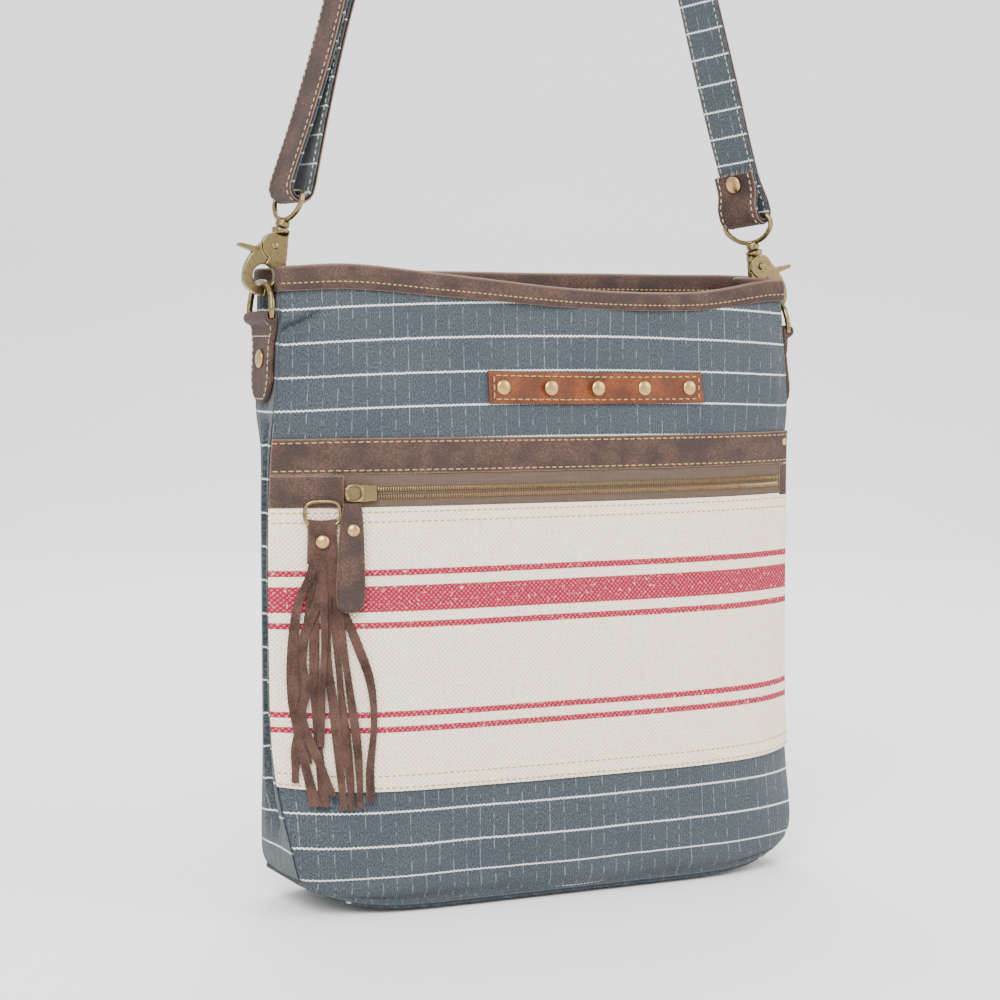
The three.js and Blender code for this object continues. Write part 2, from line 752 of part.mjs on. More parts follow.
function holeArc(outline, from, to) {
  const steps = 8;
  for (let i = 0; i <= steps; i += 1) {
    outline.lineTo(...onHole(THREE.MathUtils.lerp(from, to, i / steps)));
  }
}

const meetAngle = Math.asin((jawMeet + hookGap / 2 - holeOut) / holeRadius);
const fixedAngle = Math.asin((jawMeet - hookGap / 2 - holeOut) / holeRadius);
const notchAngle = Math.PI * 0.94;

// Moving jaw with its thumb lever, one plate thick round the pin.
function triggerGeometry() {
  const claw = new THREE.Shape();
  claw.moveTo(jawMeet + hookGap / 2, holeUp - holeRadius - 4);
  holeArc(claw, meetAngle, notchAngle);
  claw.lineTo(pivotOut + 0.6, pivotUp - 1);
  claw.lineTo(pivotOut + 1, pivotUp + 3.2);
  claw.quadraticCurveTo(pivotOut + 6, pivotUp + 2, 10.5, -10.4);
  claw.lineTo(19.4, -11.0);
  claw.quadraticCurveTo(20.4, -12.0, 19.4, -12.9);
  claw.lineTo(11.6, -13.6);
  claw.quadraticCurveTo(13.9, -18, 13.9, -23);
  claw.quadraticCurveTo(13.9, -32.6, 4.5, holeUp - holeRadius - 4);
  const lobe = hookDisc(plateRadius, innerFace, half);
  const relief = hookDisc(plateRadius + hookGap, -half - 1, innerFace);
  const bore = hookDisc(pinRadius + hookGap, -half - 1, half + 1);
  return fromSolid(hookPlate(claw, -half, half).subtract(relief).add(lobe).subtract(bore));
}

// Fixed jaw with the pin and the collar that turns under the eye.
function hookBodyGeometry() {
  const jaw = new THREE.Shape();
  jaw.moveTo(-collarRadius * 0.8, 0.4);
  jaw.quadraticCurveTo(-5.6, -8, -6.6, -16);
  jaw.quadraticCurveTo(-8.2, -27, -4.6, -30.4);
  jaw.quadraticCurveTo(-2.5, -32.8, jawMeet - hookGap / 2, holeUp - holeRadius - 3.6);
  holeArc(jaw, fixedAngle, notchAngle - 2 * Math.PI + 0.06);
  jaw.lineTo(pivotOut + 0.2, pivotUp - 1);
  jaw.lineTo(pivotOut + 2.4, pivotUp + plateRadius * 0.9);
  jaw.lineTo(collarRadius * 0.8, 0.4);
  const lobe = hookDisc(plateRadius, -half, -innerFace);
  const relief = hookDisc(plateRadius + hookGap, -innerFace, half + 1);
  const pin = hookDisc(pinRadius, -half - pinHeadHeight * 0.5, half + hookGap);
  const head = hookDisc(pinHeadRadius, half + hookGap, half + hookGap + pinHeadHeight);
  const stem = [
    [0, -1.2],
    [collarRadius * 0.8, -1.2],
    [collarRadius, 0],
    [collarRadius, collarHeight * 0.6],
    [collarRadius * 0.6, collarHeight],
    [0, collarHeight],
  ].map(([r, z]) => new THREE.Vector2(r, z));
  const collar = new THREE.LatheGeometry(stem, 12);
  collar.rotateX(Math.PI / 2);
  const blank = hookPlate(jaw, -half, half).add(toSolid(collar)).subtract(relief);
  return fromSolid(blank.add(lobe).add(pin).add(head));
}

const eyeBar = collarHeight + seamGap + swivelHeight + eyeHeight;

// Eye with the swivel's upper collar; the bar that the strap hangs on is straight.
function eyeGeometry() {
  const half = strapWidth / 2 + eyeSide + eyeWire;
  const low = collarHeight + seamGap + swivelHeight;
  const points = [
    [-half + 4.4, eyeBar], [0, eyeBar], [half - 4.4, eyeBar], [half - 0.9, eyeBar - 1.1],
    [half, eyeBar - 4], [half * 0.9, eyeBar - 8], [half * 0.52, low + 1.6], [0, low],
    [-half * 0.52, low + 1.6], [-half * 0.9, eyeBar - 8], [-half, eyeBar - 4],
    [-half + 0.9, eyeBar - 1.1],
  ].map(([y, z]) => new THREE.Vector3(0, y, z));
  const ring = wireRing(points, eyeWire, 26, 6);
  const profile = [
    [0, collarHeight + seamGap],
    [swivelRadius, collarHeight + seamGap],
    [swivelRadius, low - 0.6],
    [swivelRadius * 0.7, low + 0.7],
    [0, low + 0.7],
  ].map(([r, z]) => new THREE.Vector2(r, z));
  const swivel = new THREE.LatheGeometry(profile, 12);
  swivel.rotateX(Math.PI / 2);
  return fromSolid(toSolid(ring).add(toSolid(swivel)));
}

// Hook hanging between a D-ring and the strap. Returns where the strap's bar lies.
function buildHook(side, sideName, ringTop, twist) {
  const holder = new THREE.Group();
  const tilt = new THREE.Group();
  holder.position.copy(ringTop);
  holder.rotation.z = side < 0 ? Math.PI : 0;
  tilt.rotation.y = -hookTilt;
  holder.add(tilt);
  bag.add(holder);
  const seat = new THREE.Group();
  seat.position.set(-ringSeatOut, 0, -ringSeatUp);
  tilt.add(seat);
  addPiece(`hook_trigger_${sideName}`, triggerGeometry(), brassFinish, seat);
  addPiece(`hook_body_${sideName}`, hookBodyGeometry(), brassFinish, seat);
  const eye = addPiece(`swivel_eye_${sideName}`, eyeGeometry(), brassFinish, seat);
  eye.rotation.z = twist;
  bag.updateMatrixWorld(true);
  return {
    bar: seat.localToWorld(new THREE.Vector3(0, 0, eyeBar)),
    up: new THREE.Vector3(-side * Math.sin(hookTilt), 0, Math.cos(hookTilt)),
    out: new THREE.Vector3(side * Math.cos(hookTilt), 0, Math.sin(hookTilt)),
    twist,
  };
}

// One stretch of strap beside a hook: each row is a height above the bar and a distance out of
// the hook's line to the strap's denim face.
function besideHook(hook, rows, steps) {
  const curve = new THREE.SplineCurve(rows.map(([up, out]) => new THREE.Vector2(up, out)));
  return curve.getSpacedPoints(steps).map((p) => ({
    point: hook.bar.clone().addScaledVector(hook.up, p.x).addScaledVector(hook.out, p.y),
    up: p.x,
    hook,
  }));
}

function aroundBar(hook, centreUp, centreOut, radius, from, to, steps) {
  return Array.from({ length: steps + 1 }, (_, i) => {
    const angle = THREE.MathUtils.lerp(from, to, i / steps);
    const up = centreUp + radius * Math.sin(angle);
    const out = centreOut + radius * Math.cos(angle);
    return {
      point: hook.bar.clone().addScaledVector(hook.up, up).addScaledVector(hook.out, out),
      up,
      hook,
    };
  });
}

// Stations on a hook's line, evenly spaced between two heights above its bar.
function straight(hook, from, to, steps) {
  return Array.from({ length: steps + 1 }, (_, i) => {
    const up = THREE.MathUtils.lerp(from, to, i / steps);
    return { point: hook.bar.clone().addScaledVector(hook.up, up), up, hook };
  });
}

const stackHeight = strapDenim + seamGap + strapLeather;
const loopCentre = loopRadius - eyeWire - loopRest;
const slideBarOut = eyeWire + seamGap;

// The strap's path on its denim face, from the end that is turned round the slide on the left,
// down round the left eye, up over the top and down round the right eye to the riveted end.
function strapStations(left, right) {
  const top = slideHeight;
  const nearBar = slideBarOut - slideWire - seamGap;
  const overWrap = slideBarOut + slideWire + seamGap + stackHeight + 0.8;
  const underBar = nearBar - stackHeight;
  const pair = seamGap * 2;
  const wrap = aroundBar(left, top, slideBarOut, slideWire + seamGap, -0.2, Math.PI, 8);
  const down = besideHook(left, [
    [top - 3, nearBar],
    [top - slidePitch * 0.45, nearBar - 0.6],
    [top - slidePitch, underBar - pair - 0.2],
    [top - slidePitch * 1.7, underBar - pair],
    [top - slidePitch * 2.6, -pair],
    [top * 0.5, -pair],
    [top * 0.24, -pair - 1.6],
    [loopCentre + 4, -loopRadius + 0.1],
  ], 18);
  const turn = aroundBar(left, loopCentre, 0, loopRadius, Math.PI, 2 * Math.PI, 8);
  const up = besideHook(left, [
    [loopCentre + 4, loopRadius - 0.1],
    [top * 0.24, pair + 1.6],
    [top * 0.5, pair],
    [top - slidePitch * 2.6, pair],
    [top - slidePitch * 1.7, underBar + 1.2],
    [top - slidePitch - barPass, underBar],
    [top - slidePitch + barPass, underBar],
    [top - barPass, overWrap],
    [top + barPass, overWrap],
    [top + slidePitch - barPass, underBar],
    [top + slidePitch + barPass, underBar],
    [top + slidePitch * 2, 0],
    [top + slidePitch * 3, 0],
  ], 30);
  const gapAcross = right.bar.x - left.bar.x;
  const rise = (gapAcross / Math.tan(hookTilt) + right.bar.z - left.bar.z) / 2;
  const meet = new THREE.Vector3(
    left.bar.x + rise * Math.tan(hookTilt),
    0,
    left.bar.z + rise,
  );
  const centre = meet.clone();
  centre.z -= topBend / Math.sin(hookTilt);
  const over = Array.from({ length: 9 }, (_, i) => {
    const reach = Math.PI / 2 - hookTilt;
    const angle = THREE.MathUtils.lerp(-reach, reach, i / 8);
    const point = centre.clone();
    point.x += topBend * Math.sin(angle);
    point.z += topBend * Math.cos(angle);
    return { point, up: Infinity, hook: right };
  });
  const lineEnd = (hook) =>
    (meet.z - hook.bar.z) / Math.cos(hookTilt) - topBend / Math.tan(hookTilt);
  const leftRun = straight(left, top + slidePitch * 3, lineEnd(left), 3);
  const rightRun = straight(right, lineEnd(right), endLength * 2, 10);
  const rightLine = besideHook(right, [
    [endLength * 2, 0],
    [endLength * 1.4, 0.4],
    [endLength * 0.8, pair + 0.6],
    [loopCentre + 4, loopRadius - 0.1],
  ], 8);
  const rightTurn = aroundBar(right, loopCentre, 0, loopRadius, 0, -Math.PI, 8);
  const tail = besideHook(right, [
    [loopCentre + 4, -loopRadius + 0.1],
    [endLength * 0.6, -pair - 0.2],
    [endLength, -pair],
  ], 5);
  const stations = [
    ...wrap, ...down, ...turn, ...up, ...leftRun, ...over, ...rightRun, ...rightLine,
    ...rightTurn, ...tail,
  ];
  const apex = centre.clone();
  apex.z += topBend;
  return { stations: dropClose(stations), apex };
}

// Leaves out stations that lie almost on the one before.
function dropClose(stations) {
  return stations.filter(
    (s, i) => i === 0 || s.point.distanceTo(stations[i - 1].point) > seamGap,
  );
}

// Turn of the strap about a hook's line at a height above its bar; it fades towards the top.
function twistAt(hook, up) {
  const fade = THREE.MathUtils.clamp((twistEnd - up) / (twistEnd - twistHold), 0, 1);
  return hook.twist * fade;
}

// A ribbon along the stations, between two offsets from the denim face.
function ribbon(stations, low, high) {
  const rings = stations.map((station, i) => {
    const before = stations[Math.max(i - 1, 0)].point;
    const after = stations[Math.min(i + 1, stations.length - 1)].point;
    const tangent = after.clone().sub(before).normalize();
    const across = new THREE.Vector3(0, 1, 0);
    const normal = tangent.clone().cross(across).normalize();
    const corners = [
      [low, -1],
      [low, 1],
      [high, 1],
      [high, -1],
    ].map(([offset, edge]) =>
      station.point
        .clone()
        .addScaledVector(normal, offset)
        .addScaledVector(across, (edge * strapWidth) / 2),
    );
    const { hook, up } = station;
    return corners.map((corner) =>
      corner.sub(hook.bar).applyAxisAngle(hook.up, twistAt(hook, up)).add(hook.bar),
    );
  });
  return loft(rings);
}

// Flat slide with three bars that the left end of the strap is wound through.
function slideGeometry() {
  const halfWide = strapWidth / 2 + seamGap * 3 + slideWire;
  const bar = (low, high, x0, x1) => {
    const shape = new THREE.BoxGeometry(2 * slideWire, x1 - x0, high - low);
    shape.translate(0, (x0 + x1) / 2, (low + high) / 2);
    return toSolid(shape);
  };
  const end = slidePitch + slideWire;
  let slide = bar(-end, end, -halfWide - slideWire, -halfWide + slideWire);
  slide = slide.add(bar(-end, end, halfWide - slideWire, halfWide + slideWire));
  for (const z of [-slidePitch, slidePitch]) {
    slide = slide.add(bar(z - slideWire, z + slideWire, -halfWide, halfWide));
  }
  const middle = new THREE.CylinderGeometry(slideWire, slideWire, 2 * halfWide, 8);
  return fromSolid(slide.add(toSolid(middle)));
}

function buildStrap(left, right) {
  const { stations, apex } = strapStations(left, right);
  addPiece("strap_denim", ribbon(stations, 0, strapDenim), denimFinish);
  const leatherLow = strapDenim + seamGap;
  addPiece("strap_leather", ribbon(stations, leatherLow, leatherLow + strapLeather), brownFinish);
  const slide = addPiece("strap_slide", slideGeometry(), brassFinish);
  slide.position
    .copy(left.bar)
    .addScaledVector(left.up, slideHeight)
    .addScaledVector(left.out, slideBarOut);
  slide.rotation.y = hookTilt;
  slide.rotateOnWorldAxis(left.up, twistAt(left, slideHeight));
  const rivetOut = -(seamGap * 4 + stackHeight);
  const turn = twistAt(right, endLength);
  const seat = right.bar
    .clone()
    .addScaledVector(right.up, endLength * 0.8)
    .addScaledVector(right.out.clone().applyAxisAngle(right.up, turn), rivetOut);
  const normal = right.out.clone().negate().applyAxisAngle(right.up, turn);
  addRivet("strap_rivet", seat, normal, largeRivet);
  return apex;
}

buildBody();
buildRim();
buildFront();
buildZip();
buildPull();
buildTassel();
const leftRing = buildTab(-1, "left", leftBar);
const rightRing = buildTab(1, "right", leftBar - rightBarDrop);
const leftHook = buildHook(-1, "left", leftRing, leftTwist);
const rightHook = buildHook(1, "right", rightRing, rightTwist);
const apex = buildStrap(leftHook, rightHook);

// The origin is where the strap hangs, on its denim face at the very top.
bag.position.copy(apex).negate();
const model = new THREE.Group();
model.add(bag);

export default model;
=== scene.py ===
"""Mail carrier bag in striped denim, canvas and leather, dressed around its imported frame.

Shapes are worked out in millimetres with the bag standing on z = 0, then moved into the
frame, whose origin is the top of the strap.
"""

import logging
import math
import random
from dataclasses import dataclass
from enum import Enum
from typing import Callable, Sequence

import bpy
import numpy as np
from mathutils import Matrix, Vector


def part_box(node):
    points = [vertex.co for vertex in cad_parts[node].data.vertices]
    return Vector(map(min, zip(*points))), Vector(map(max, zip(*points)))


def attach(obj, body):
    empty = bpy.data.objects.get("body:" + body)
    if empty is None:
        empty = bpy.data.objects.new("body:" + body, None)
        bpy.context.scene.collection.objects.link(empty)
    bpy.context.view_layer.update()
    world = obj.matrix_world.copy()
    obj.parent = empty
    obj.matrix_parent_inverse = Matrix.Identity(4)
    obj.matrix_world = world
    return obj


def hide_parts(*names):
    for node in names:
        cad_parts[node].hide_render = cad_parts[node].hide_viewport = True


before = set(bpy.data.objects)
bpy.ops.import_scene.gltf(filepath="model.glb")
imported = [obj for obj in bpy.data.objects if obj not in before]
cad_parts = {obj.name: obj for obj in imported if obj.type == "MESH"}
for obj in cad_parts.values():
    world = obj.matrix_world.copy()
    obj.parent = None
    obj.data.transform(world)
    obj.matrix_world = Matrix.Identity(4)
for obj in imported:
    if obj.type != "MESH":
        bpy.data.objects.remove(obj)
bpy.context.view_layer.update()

LOG = logging.getLogger("bag")
MM = 0.001
ROOT_BODY = "bag"
FLOAT = "NodeSocketFloat"
CLOTH_PLACE = {"Place": (0.0, 0.0, 0.0)}
SEAM = 999.0  # a place across that is beyond the bag's edge, which stands for its seam
UP = np.array([0.0, 0.0, 1.0])

Array = np.ndarray
Colour = tuple[int, int, int]
Pair = tuple[float, float]
Place = tuple[float, float, float]
Area = tuple[float, float, float, float]


def linear(colour: Colour) -> tuple[float, float, float, float]:
    """Turns a display colour into the linear one that shaders take.

    Args:
        colour: Red, green and blue, each from 0 to 255.

    Returns:
        Linear colour with full alpha.
    """
    parts = [c / 255 for c in colour]
    made = [c / 12.92 if c <= 0.04045 else ((c + 0.055) / 1.055) ** 2.4 for c in parts]
    return (made[0], made[1], made[2], 1.0)


def darker(colour: Colour) -> Colour:
    """A colour darkened for the painted shade in its hollows."""
    return tuple(int(c * 0.72) for c in colour)


class Graph:
    """Short calls that add shader nodes to one tree and link them."""

    def __init__(self, tree: bpy.types.NodeTree) -> None:
        """Keeps the tree that nodes are added to."""
        self.tree = tree

    def feed(self, socket: bpy.types.NodeSocket, value: object) -> None:
        """Links a socket to another socket or sets it to a plain value.

        Args:
            socket: Input to fill.
            value: Output socket, number, vector or colour.
        """
        if isinstance(value, bpy.types.NodeSocket):
            self.tree.links.new(value, socket)
        else:
            socket.default_value = value

    def fill(self, node: bpy.types.Node, inputs: dict) -> bpy.types.Node:
        """Feeds the inputs of a node, by name or number, and returns the node."""
        for key, value in inputs.items():
            self.feed(node.inputs[key], value)
        return node

    def add(self, kind: str, inputs: dict | None = None, **settings: object) -> bpy.types.Node:
        """Adds one node.

        Args:
            kind: Node type name without its ShaderNode prefix.
            inputs: Input names or numbers with what feeds them.
            **settings: Properties of the node.

        Returns:
            The new node.
        """
        node = self.tree.nodes.new("ShaderNode" + kind)
        for key, value in settings.items():
            setattr(node, key, value)
        return self.fill(node, inputs or {})

    def math(self, operation: str, *terms: object) -> bpy.types.NodeSocket:
        """Result of a Math node on numbers or sockets."""
        return self.add("Math", dict(enumerate(terms)), operation=operation).outputs[0]

    def ramp(self, value: object, low: float, high: float) -> bpy.types.NodeSocket:
        """Smooth step of a value from 0 at low to 1 at high."""
        inputs = {"Value": value, "From Min": low, "From Max": high}
        return self.add("MapRange", inputs, interpolation_type="SMOOTHSTEP").outputs[0]

    def mix(self, share: object, low: object, high: object) -> bpy.types.NodeSocket:
        """Mixes two colours.

        Args:
            share: How much of the second colour shows.
            low: First colour.
            high: Second colour.

        Returns:
            The mixed colour.
        """
        return self.add("Mix", {0: share, 6: low, 7: high}, data_type="RGBA").outputs[2]

    def noise(self, vector: object, scale: float, detail: float = 3.0) -> bpy.types.NodeSocket:
        """Noise between 0 and 1, with scale features for each unit of the coordinates."""
        inputs = {"Vector": vector, "Scale": scale, "Detail": detail}
        return self.add("TexNoise", inputs).outputs[0]

    def stretched(self, vector: object, scale: Sequence[float]) -> bpy.types.NodeSocket:
        """Coordinates multiplied by a scale for each axis."""
        inputs = {0: vector, 1: tuple(scale)}
        return self.add("VectorMath", inputs, operation="MULTIPLY").outputs[0]

    def axes(self, vector: object) -> Sequence[bpy.types.NodeSocket]:
        """Splits coordinates into X, Y and Z."""
        return self.add("SeparateXYZ", {0: vector}).outputs

    def times(self, one: object, two: object) -> bpy.types.NodeSocket:
        """Product of two numbers or sockets."""
        return self.math("MULTIPLY", one, two)

    def plus(self, one: object, two: object) -> bpy.types.NodeSocket:
        """Sum of two numbers or sockets."""
        return self.math("ADD", one, two)

    def less(self, one: object, two: object) -> bpy.types.NodeSocket:
        """Difference of two numbers or sockets."""
        return self.math("SUBTRACT", one, two)

    def blend(self, one: object, part: float, two: object, rest: float) -> bpy.types.NodeSocket:
        """Adds a part of one value to a part of another."""
        return self.plus(self.times(one, part), self.times(two, rest))

    def off_middle(self, turns: object) -> bpy.types.NodeSocket:
        """How far the fraction of a number of turns is from a half."""
        return self.math("ABSOLUTE", self.less(self.math("FRACT", turns), 0.5))


def shader_group(
    name: str, inputs: dict[str, object], outputs: dict[str, str], fill: Callable
) -> bpy.types.NodeTree:
    """Builds a shared shader effect once.

    Args:
        name: Group name.
        inputs: Input names with a default number, or a tuple for coordinates.
        outputs: Output names with their socket types.
        fill: Function that takes the graph and the input sockets and returns the output sockets.

    Returns:
        The node group.
    """
    if name in bpy.data.node_groups:
        return bpy.data.node_groups[name]
    tree = bpy.data.node_groups.new(name, "ShaderNodeTree")
    for key, value in inputs.items():
        kind = "NodeSocketVector" if isinstance(value, tuple) else "NodeSocketFloat"
        socket = tree.interface.new_socket(key, in_out="INPUT", socket_type=kind)
        socket.default_value = value
    for key, kind in outputs.items():
        tree.interface.new_socket(key, in_out="OUTPUT", socket_type=kind)
    graph = Graph(tree)
    source = tree.nodes.new("NodeGroupInput")
    target = tree.nodes.new("NodeGroupOutput")
    made = fill(graph, {key: source.outputs[key] for key in inputs})
    for key, socket in made.items():
        tree.links.new(socket, target.inputs[key])
    return tree


def twill_group() -> bpy.types.NodeTree:
    """Upright ribs, pale slubs and heathered fibres of denim, from cloth coordinates in mm."""

    def fill(g: Graph, given: dict) -> dict:
        """Fills the group and returns its outputs."""
        place = given["Place"]
        across, _, _ = g.axes(place)
        wobble = g.times(g.noise(place, 0.35), 0.9)
        phase = g.times(g.plus(across, wobble), 2 * math.pi / 1.25)
        rib = g.math("MULTIPLY_ADD", g.math("SINE", phase), 0.5, 0.5)
        bend = g.times(g.noise(g.stretched(place, (0.05, 0.01, 1.0)), 1.0, 1.0), 2.0)
        turns = g.math("DIVIDE", g.plus(across, bend), 7.6)
        off = g.off_middle(turns)
        line = g.ramp(off, 0.045, 0.02)
        dash = g.noise(g.stretched(place, (0.5, 0.2, 1.0)), 1.0, 3.0)
        slub = g.times(line, g.ramp(dash, 0.44, 0.58))
        fleck = g.noise(g.stretched(place, (1.9, 0.9, 1.0)), 1.0, 3.0)
        fine = g.noise(g.stretched(place, (1.2, 1.5, 1.0)), 2.1, 2.0)
        heather = g.blend(fleck, 0.5, fine, 0.5)
        return {"Rib": rib, "Slub": slub, "Heather": heather}

    outputs = {"Rib": FLOAT, "Slub": FLOAT, "Heather": FLOAT}
    return shader_group("twill", CLOTH_PLACE, outputs, fill)


def stripe_group() -> bpy.types.NodeTree:
    """Thin level stripes at an even pitch with the stepped edge of woven yarn."""

    def fill(g: Graph, given: dict) -> dict:
        """Fills the group and returns its outputs."""
        across, along, _ = g.axes(given["Place"])
        stair = g.math("PINGPONG", across, 1.05)
        uneven = g.noise(g.stretched(given["Place"], (0.4, 0.02, 1.0)), 1.0)
        shift = g.math("MULTIPLY_ADD", stair, 0.42, g.times(uneven, 0.6))
        height = g.less(g.plus(along, shift), given["Phase"])
        turns = g.math("DIVIDE", height, given["Pitch"])
        off = g.off_middle(turns)
        reach = g.times(off, given["Pitch"])
        half = g.times(given["Width"], 0.5)
        edge = g.less(reach, half)
        body = g.less(1.0, g.ramp(edge, -0.12, 0.22))
        worn = g.ramp(g.noise(given["Place"], 0.9), 0.25, 0.5)
        return {"Mask": g.times(body, g.math("MULTIPLY_ADD", worn, 0.35, 0.65))}

    inputs = CLOTH_PLACE | {"Pitch": 16.8, "Phase": 0.0, "Width": 1.1}
    return shader_group("stripes", inputs, {"Mask": FLOAT}, fill)


def weave_group() -> bpy.types.NodeTree:
    """Plain weave of a cloth, from cloth coordinates in mm and the thread pitch."""

    def fill(g: Graph, given: dict) -> dict:
        """Fills the group and returns its outputs."""
        across, along, _ = g.axes(given["Place"])
        rate = g.math("DIVIDE", math.pi, given["Pitch"])
        wobble = g.times(g.noise(given["Place"], 0.25), 1.2)
        warp = g.math("SINE", g.times(g.plus(across, wobble), rate))
        weft = g.math("SINE", g.times(g.plus(along, wobble), rate))
        knots = g.times(warp, weft)
        height = g.math("MULTIPLY_ADD", knots, 0.5, 0.5)
        thread = g.noise(g.stretched(given["Place"], (0.06, 1.1, 1.0)), 1.0)
        other = g.noise(g.stretched(given["Place"], (1.1, 0.06, 1.0)), 1.0)
        shade = g.blend(thread, 0.5, other, 0.5)
        return {"Height": height, "Shade": shade}

    outputs = {"Height": FLOAT, "Shade": FLOAT}
    return shader_group("weave", CLOTH_PLACE | {"Pitch": 1.0}, outputs, fill)


def grain_group() -> bpy.types.NodeTree:
    """Pebbled grain and mottled dye of leather, in object coordinates."""

    def fill(g: Graph, given: dict) -> dict:
        """Fills the group and returns its outputs."""
        place = g.add("TexCoord").outputs["Object"]
        swirl = g.add("TexNoise", {"Vector": place, "Scale": 500.0}).outputs[1]
        warped = g.add("VectorMath", {0: swirl, 1: (0.0012, 0.0012, 0.0012), 2: place},
                       operation="MULTIPLY_ADD")
        cells = g.add("TexVoronoi", {"Vector": warped.outputs[0], "Scale": given["Scale"]})
        pebble = g.ramp(cells.outputs[0], 0.0, 0.75)
        fine = g.noise(place, 1600.0)
        height = g.blend(pebble, -0.7, fine, 0.3)
        mottle = g.noise(place, 75.0, 5.0)
        return {"Height": height, "Mottle": mottle, "Pebble": pebble}

    outputs = {"Height": FLOAT, "Mottle": FLOAT, "Pebble": FLOAT}
    return shader_group("grain", {"Scale": 900.0}, outputs, fill)


def edge_wear_and_shade_group() -> bpy.types.NodeTree:
    """Edge mask, for rubbed wear on leather and painted seam shade on denim: the third cloth
    coordinate is 1 on an edge and 0 away from it.
    """

    def fill(g: Graph, given: dict) -> dict:
        """Fills the group and returns its outputs."""
        _, _, edge = g.axes(given["Place"])
        broken = g.noise(given["Place"], 0.8, 4.0)
        rubbed = g.ramp(g.plus(edge, g.times(broken, 0.7)), 0.75, 1.45)
        return {"Mask": g.times(rubbed, given["Amount"])}

    return shader_group("rubbed_edges_and_seam_shade", CLOTH_PLACE | {"Amount": 0.5}, {"Mask": FLOAT}, fill)


@dataclass(frozen=True)
class Finish:
    """What all finishes share: a named material with one shader.

    Attributes:
        name: Material name.
        slot: Slot of the record that the finish stands for; not used.
        roughness: Roughness of the shader.
    """

    name: str
    slot: str
    roughness: float = 0.8

    def material(self) -> bpy.types.Material:
        """Returns the finish's material, built at its first use."""
        if self.name in bpy.data.materials:
            return bpy.data.materials[self.name]
        made = bpy.data.materials.new(self.name)
        made.use_nodes = True
        graph = Graph(made.node_tree)
        shader = made.node_tree.nodes["Principled BSDF"]
        shader.inputs["Roughness"].default_value = self.roughness
        self.paint(graph, shader)
        return made

    def paint(self, g: Graph, shader: bpy.types.Node) -> None:
        """Feeds the shader; each finish has its own."""

    def place(self, g: Graph) -> bpy.types.NodeSocket:
        """Cloth coordinates: mm across, mm along, and how near an edge is."""
        return g.add("Attribute", attribute_name="cloth").outputs["Vector"]

    def group(self, g: Graph, tree: bpy.types.NodeTree, **inputs: object) -> bpy.types.Node:
        """Adds a shared effect to the material.

        Args:
            g: Graph of the material.
            tree: The effect.
            **inputs: Its inputs by name.

        Returns:
            The group node.
        """
        node = g.add("Group")
        node.node_tree = tree
        return g.fill(node, inputs)

    def bump(self, g: Graph, shader: bpy.types.Node, height: object, depth: float) -> None:
        """Bumps the surface by a height of 0 to 1 that stands for a depth in metres."""
        node = g.add("Bump", {"Height": height, "Distance": depth, "Strength": 1.0})
        g.feed(shader.inputs["Normal"], node.outputs[0])


@dataclass(frozen=True)
class Denim(Finish):
    """Slate denim with thin pale stripes.

    Attributes:
        pitch: Stripe pitch in mm.
        phase: Height of one stripe in mm, less half a pitch.
        stripe: Stripe width in mm.
        deep: Colour of the dark yarn.
        slate: Colour of the common yarn.
        pale: Colour of the palest yarn.
        gap: Colour of the painted shade between the ribs.
        line: Colour of the slubs.
        cloud: Colour of the darker clouds.
        white: Colour of the stripes.
        worn: Colour of the painted shade along the seams and edges.
    """

    pitch: float = 16.8
    phase: float = 251.9 - 8.4
    stripe: float = 0.75
    deep: Colour = (32, 37, 41)
    slate: Colour = (80, 88, 93)
    pale: Colour = (150, 158, 162)
    gap: Colour = (34, 41, 48)
    line: Colour = (158, 167, 172)
    cloud: Colour = (38, 45, 52)
    white: Colour = (206, 214, 212)
    worn: Colour = (38, 44, 50)

    def paint(self, g: Graph, shader: bpy.types.Node) -> None:
        """Mixes the yarns, the stripes, painted shade between the ribs and painted shade along the
        seams and edges.
        """
        place = self.place(g)
        twill = self.group(g, twill_group(), Place=place)
        stripes = self.group(g, stripe_group(), Place=place, Pitch=self.pitch, Phase=self.phase,
                             Width=self.stripe)
        edge_wear_and_shade = self.group(g, edge_wear_and_shade_group(), Place=place, Amount=0.6)
        rib, slub, heather = twill.outputs
        yarn = g.mix(g.ramp(heather, 0.36, 0.64), linear(self.deep), linear(self.slate))
        for share, colour in (
            (g.times(g.ramp(heather, 0.58, 0.72), 0.5), self.pale),
            # Painted shade between the twill ribs.
            (g.times(g.ramp(rib, 0.35, 0.0), 0.25), self.gap),
            (g.times(slub, 0.34), self.line),
            (g.times(g.ramp(g.noise(place, 0.03), 0.35, 0.7), 0.22), self.cloud),
            (stripes.outputs[0], self.white),
            # Painted shade along the seams and edges: the worn colour is darker than the yarn.
            (edge_wear_and_shade.outputs[0], self.worn),
        ):
            yarn = g.mix(share, yarn, linear(colour))
        g.fill(shader, {"Base Color": yarn, "Sheen Weight": 0.12, "Specular IOR Level": 0.2})
        height = g.blend(rib, 0.6, heather, 0.5)
        height = g.plus(height, g.times(stripes.outputs[0], 0.25))
        self.bump(g, shader, height, 0.00022)


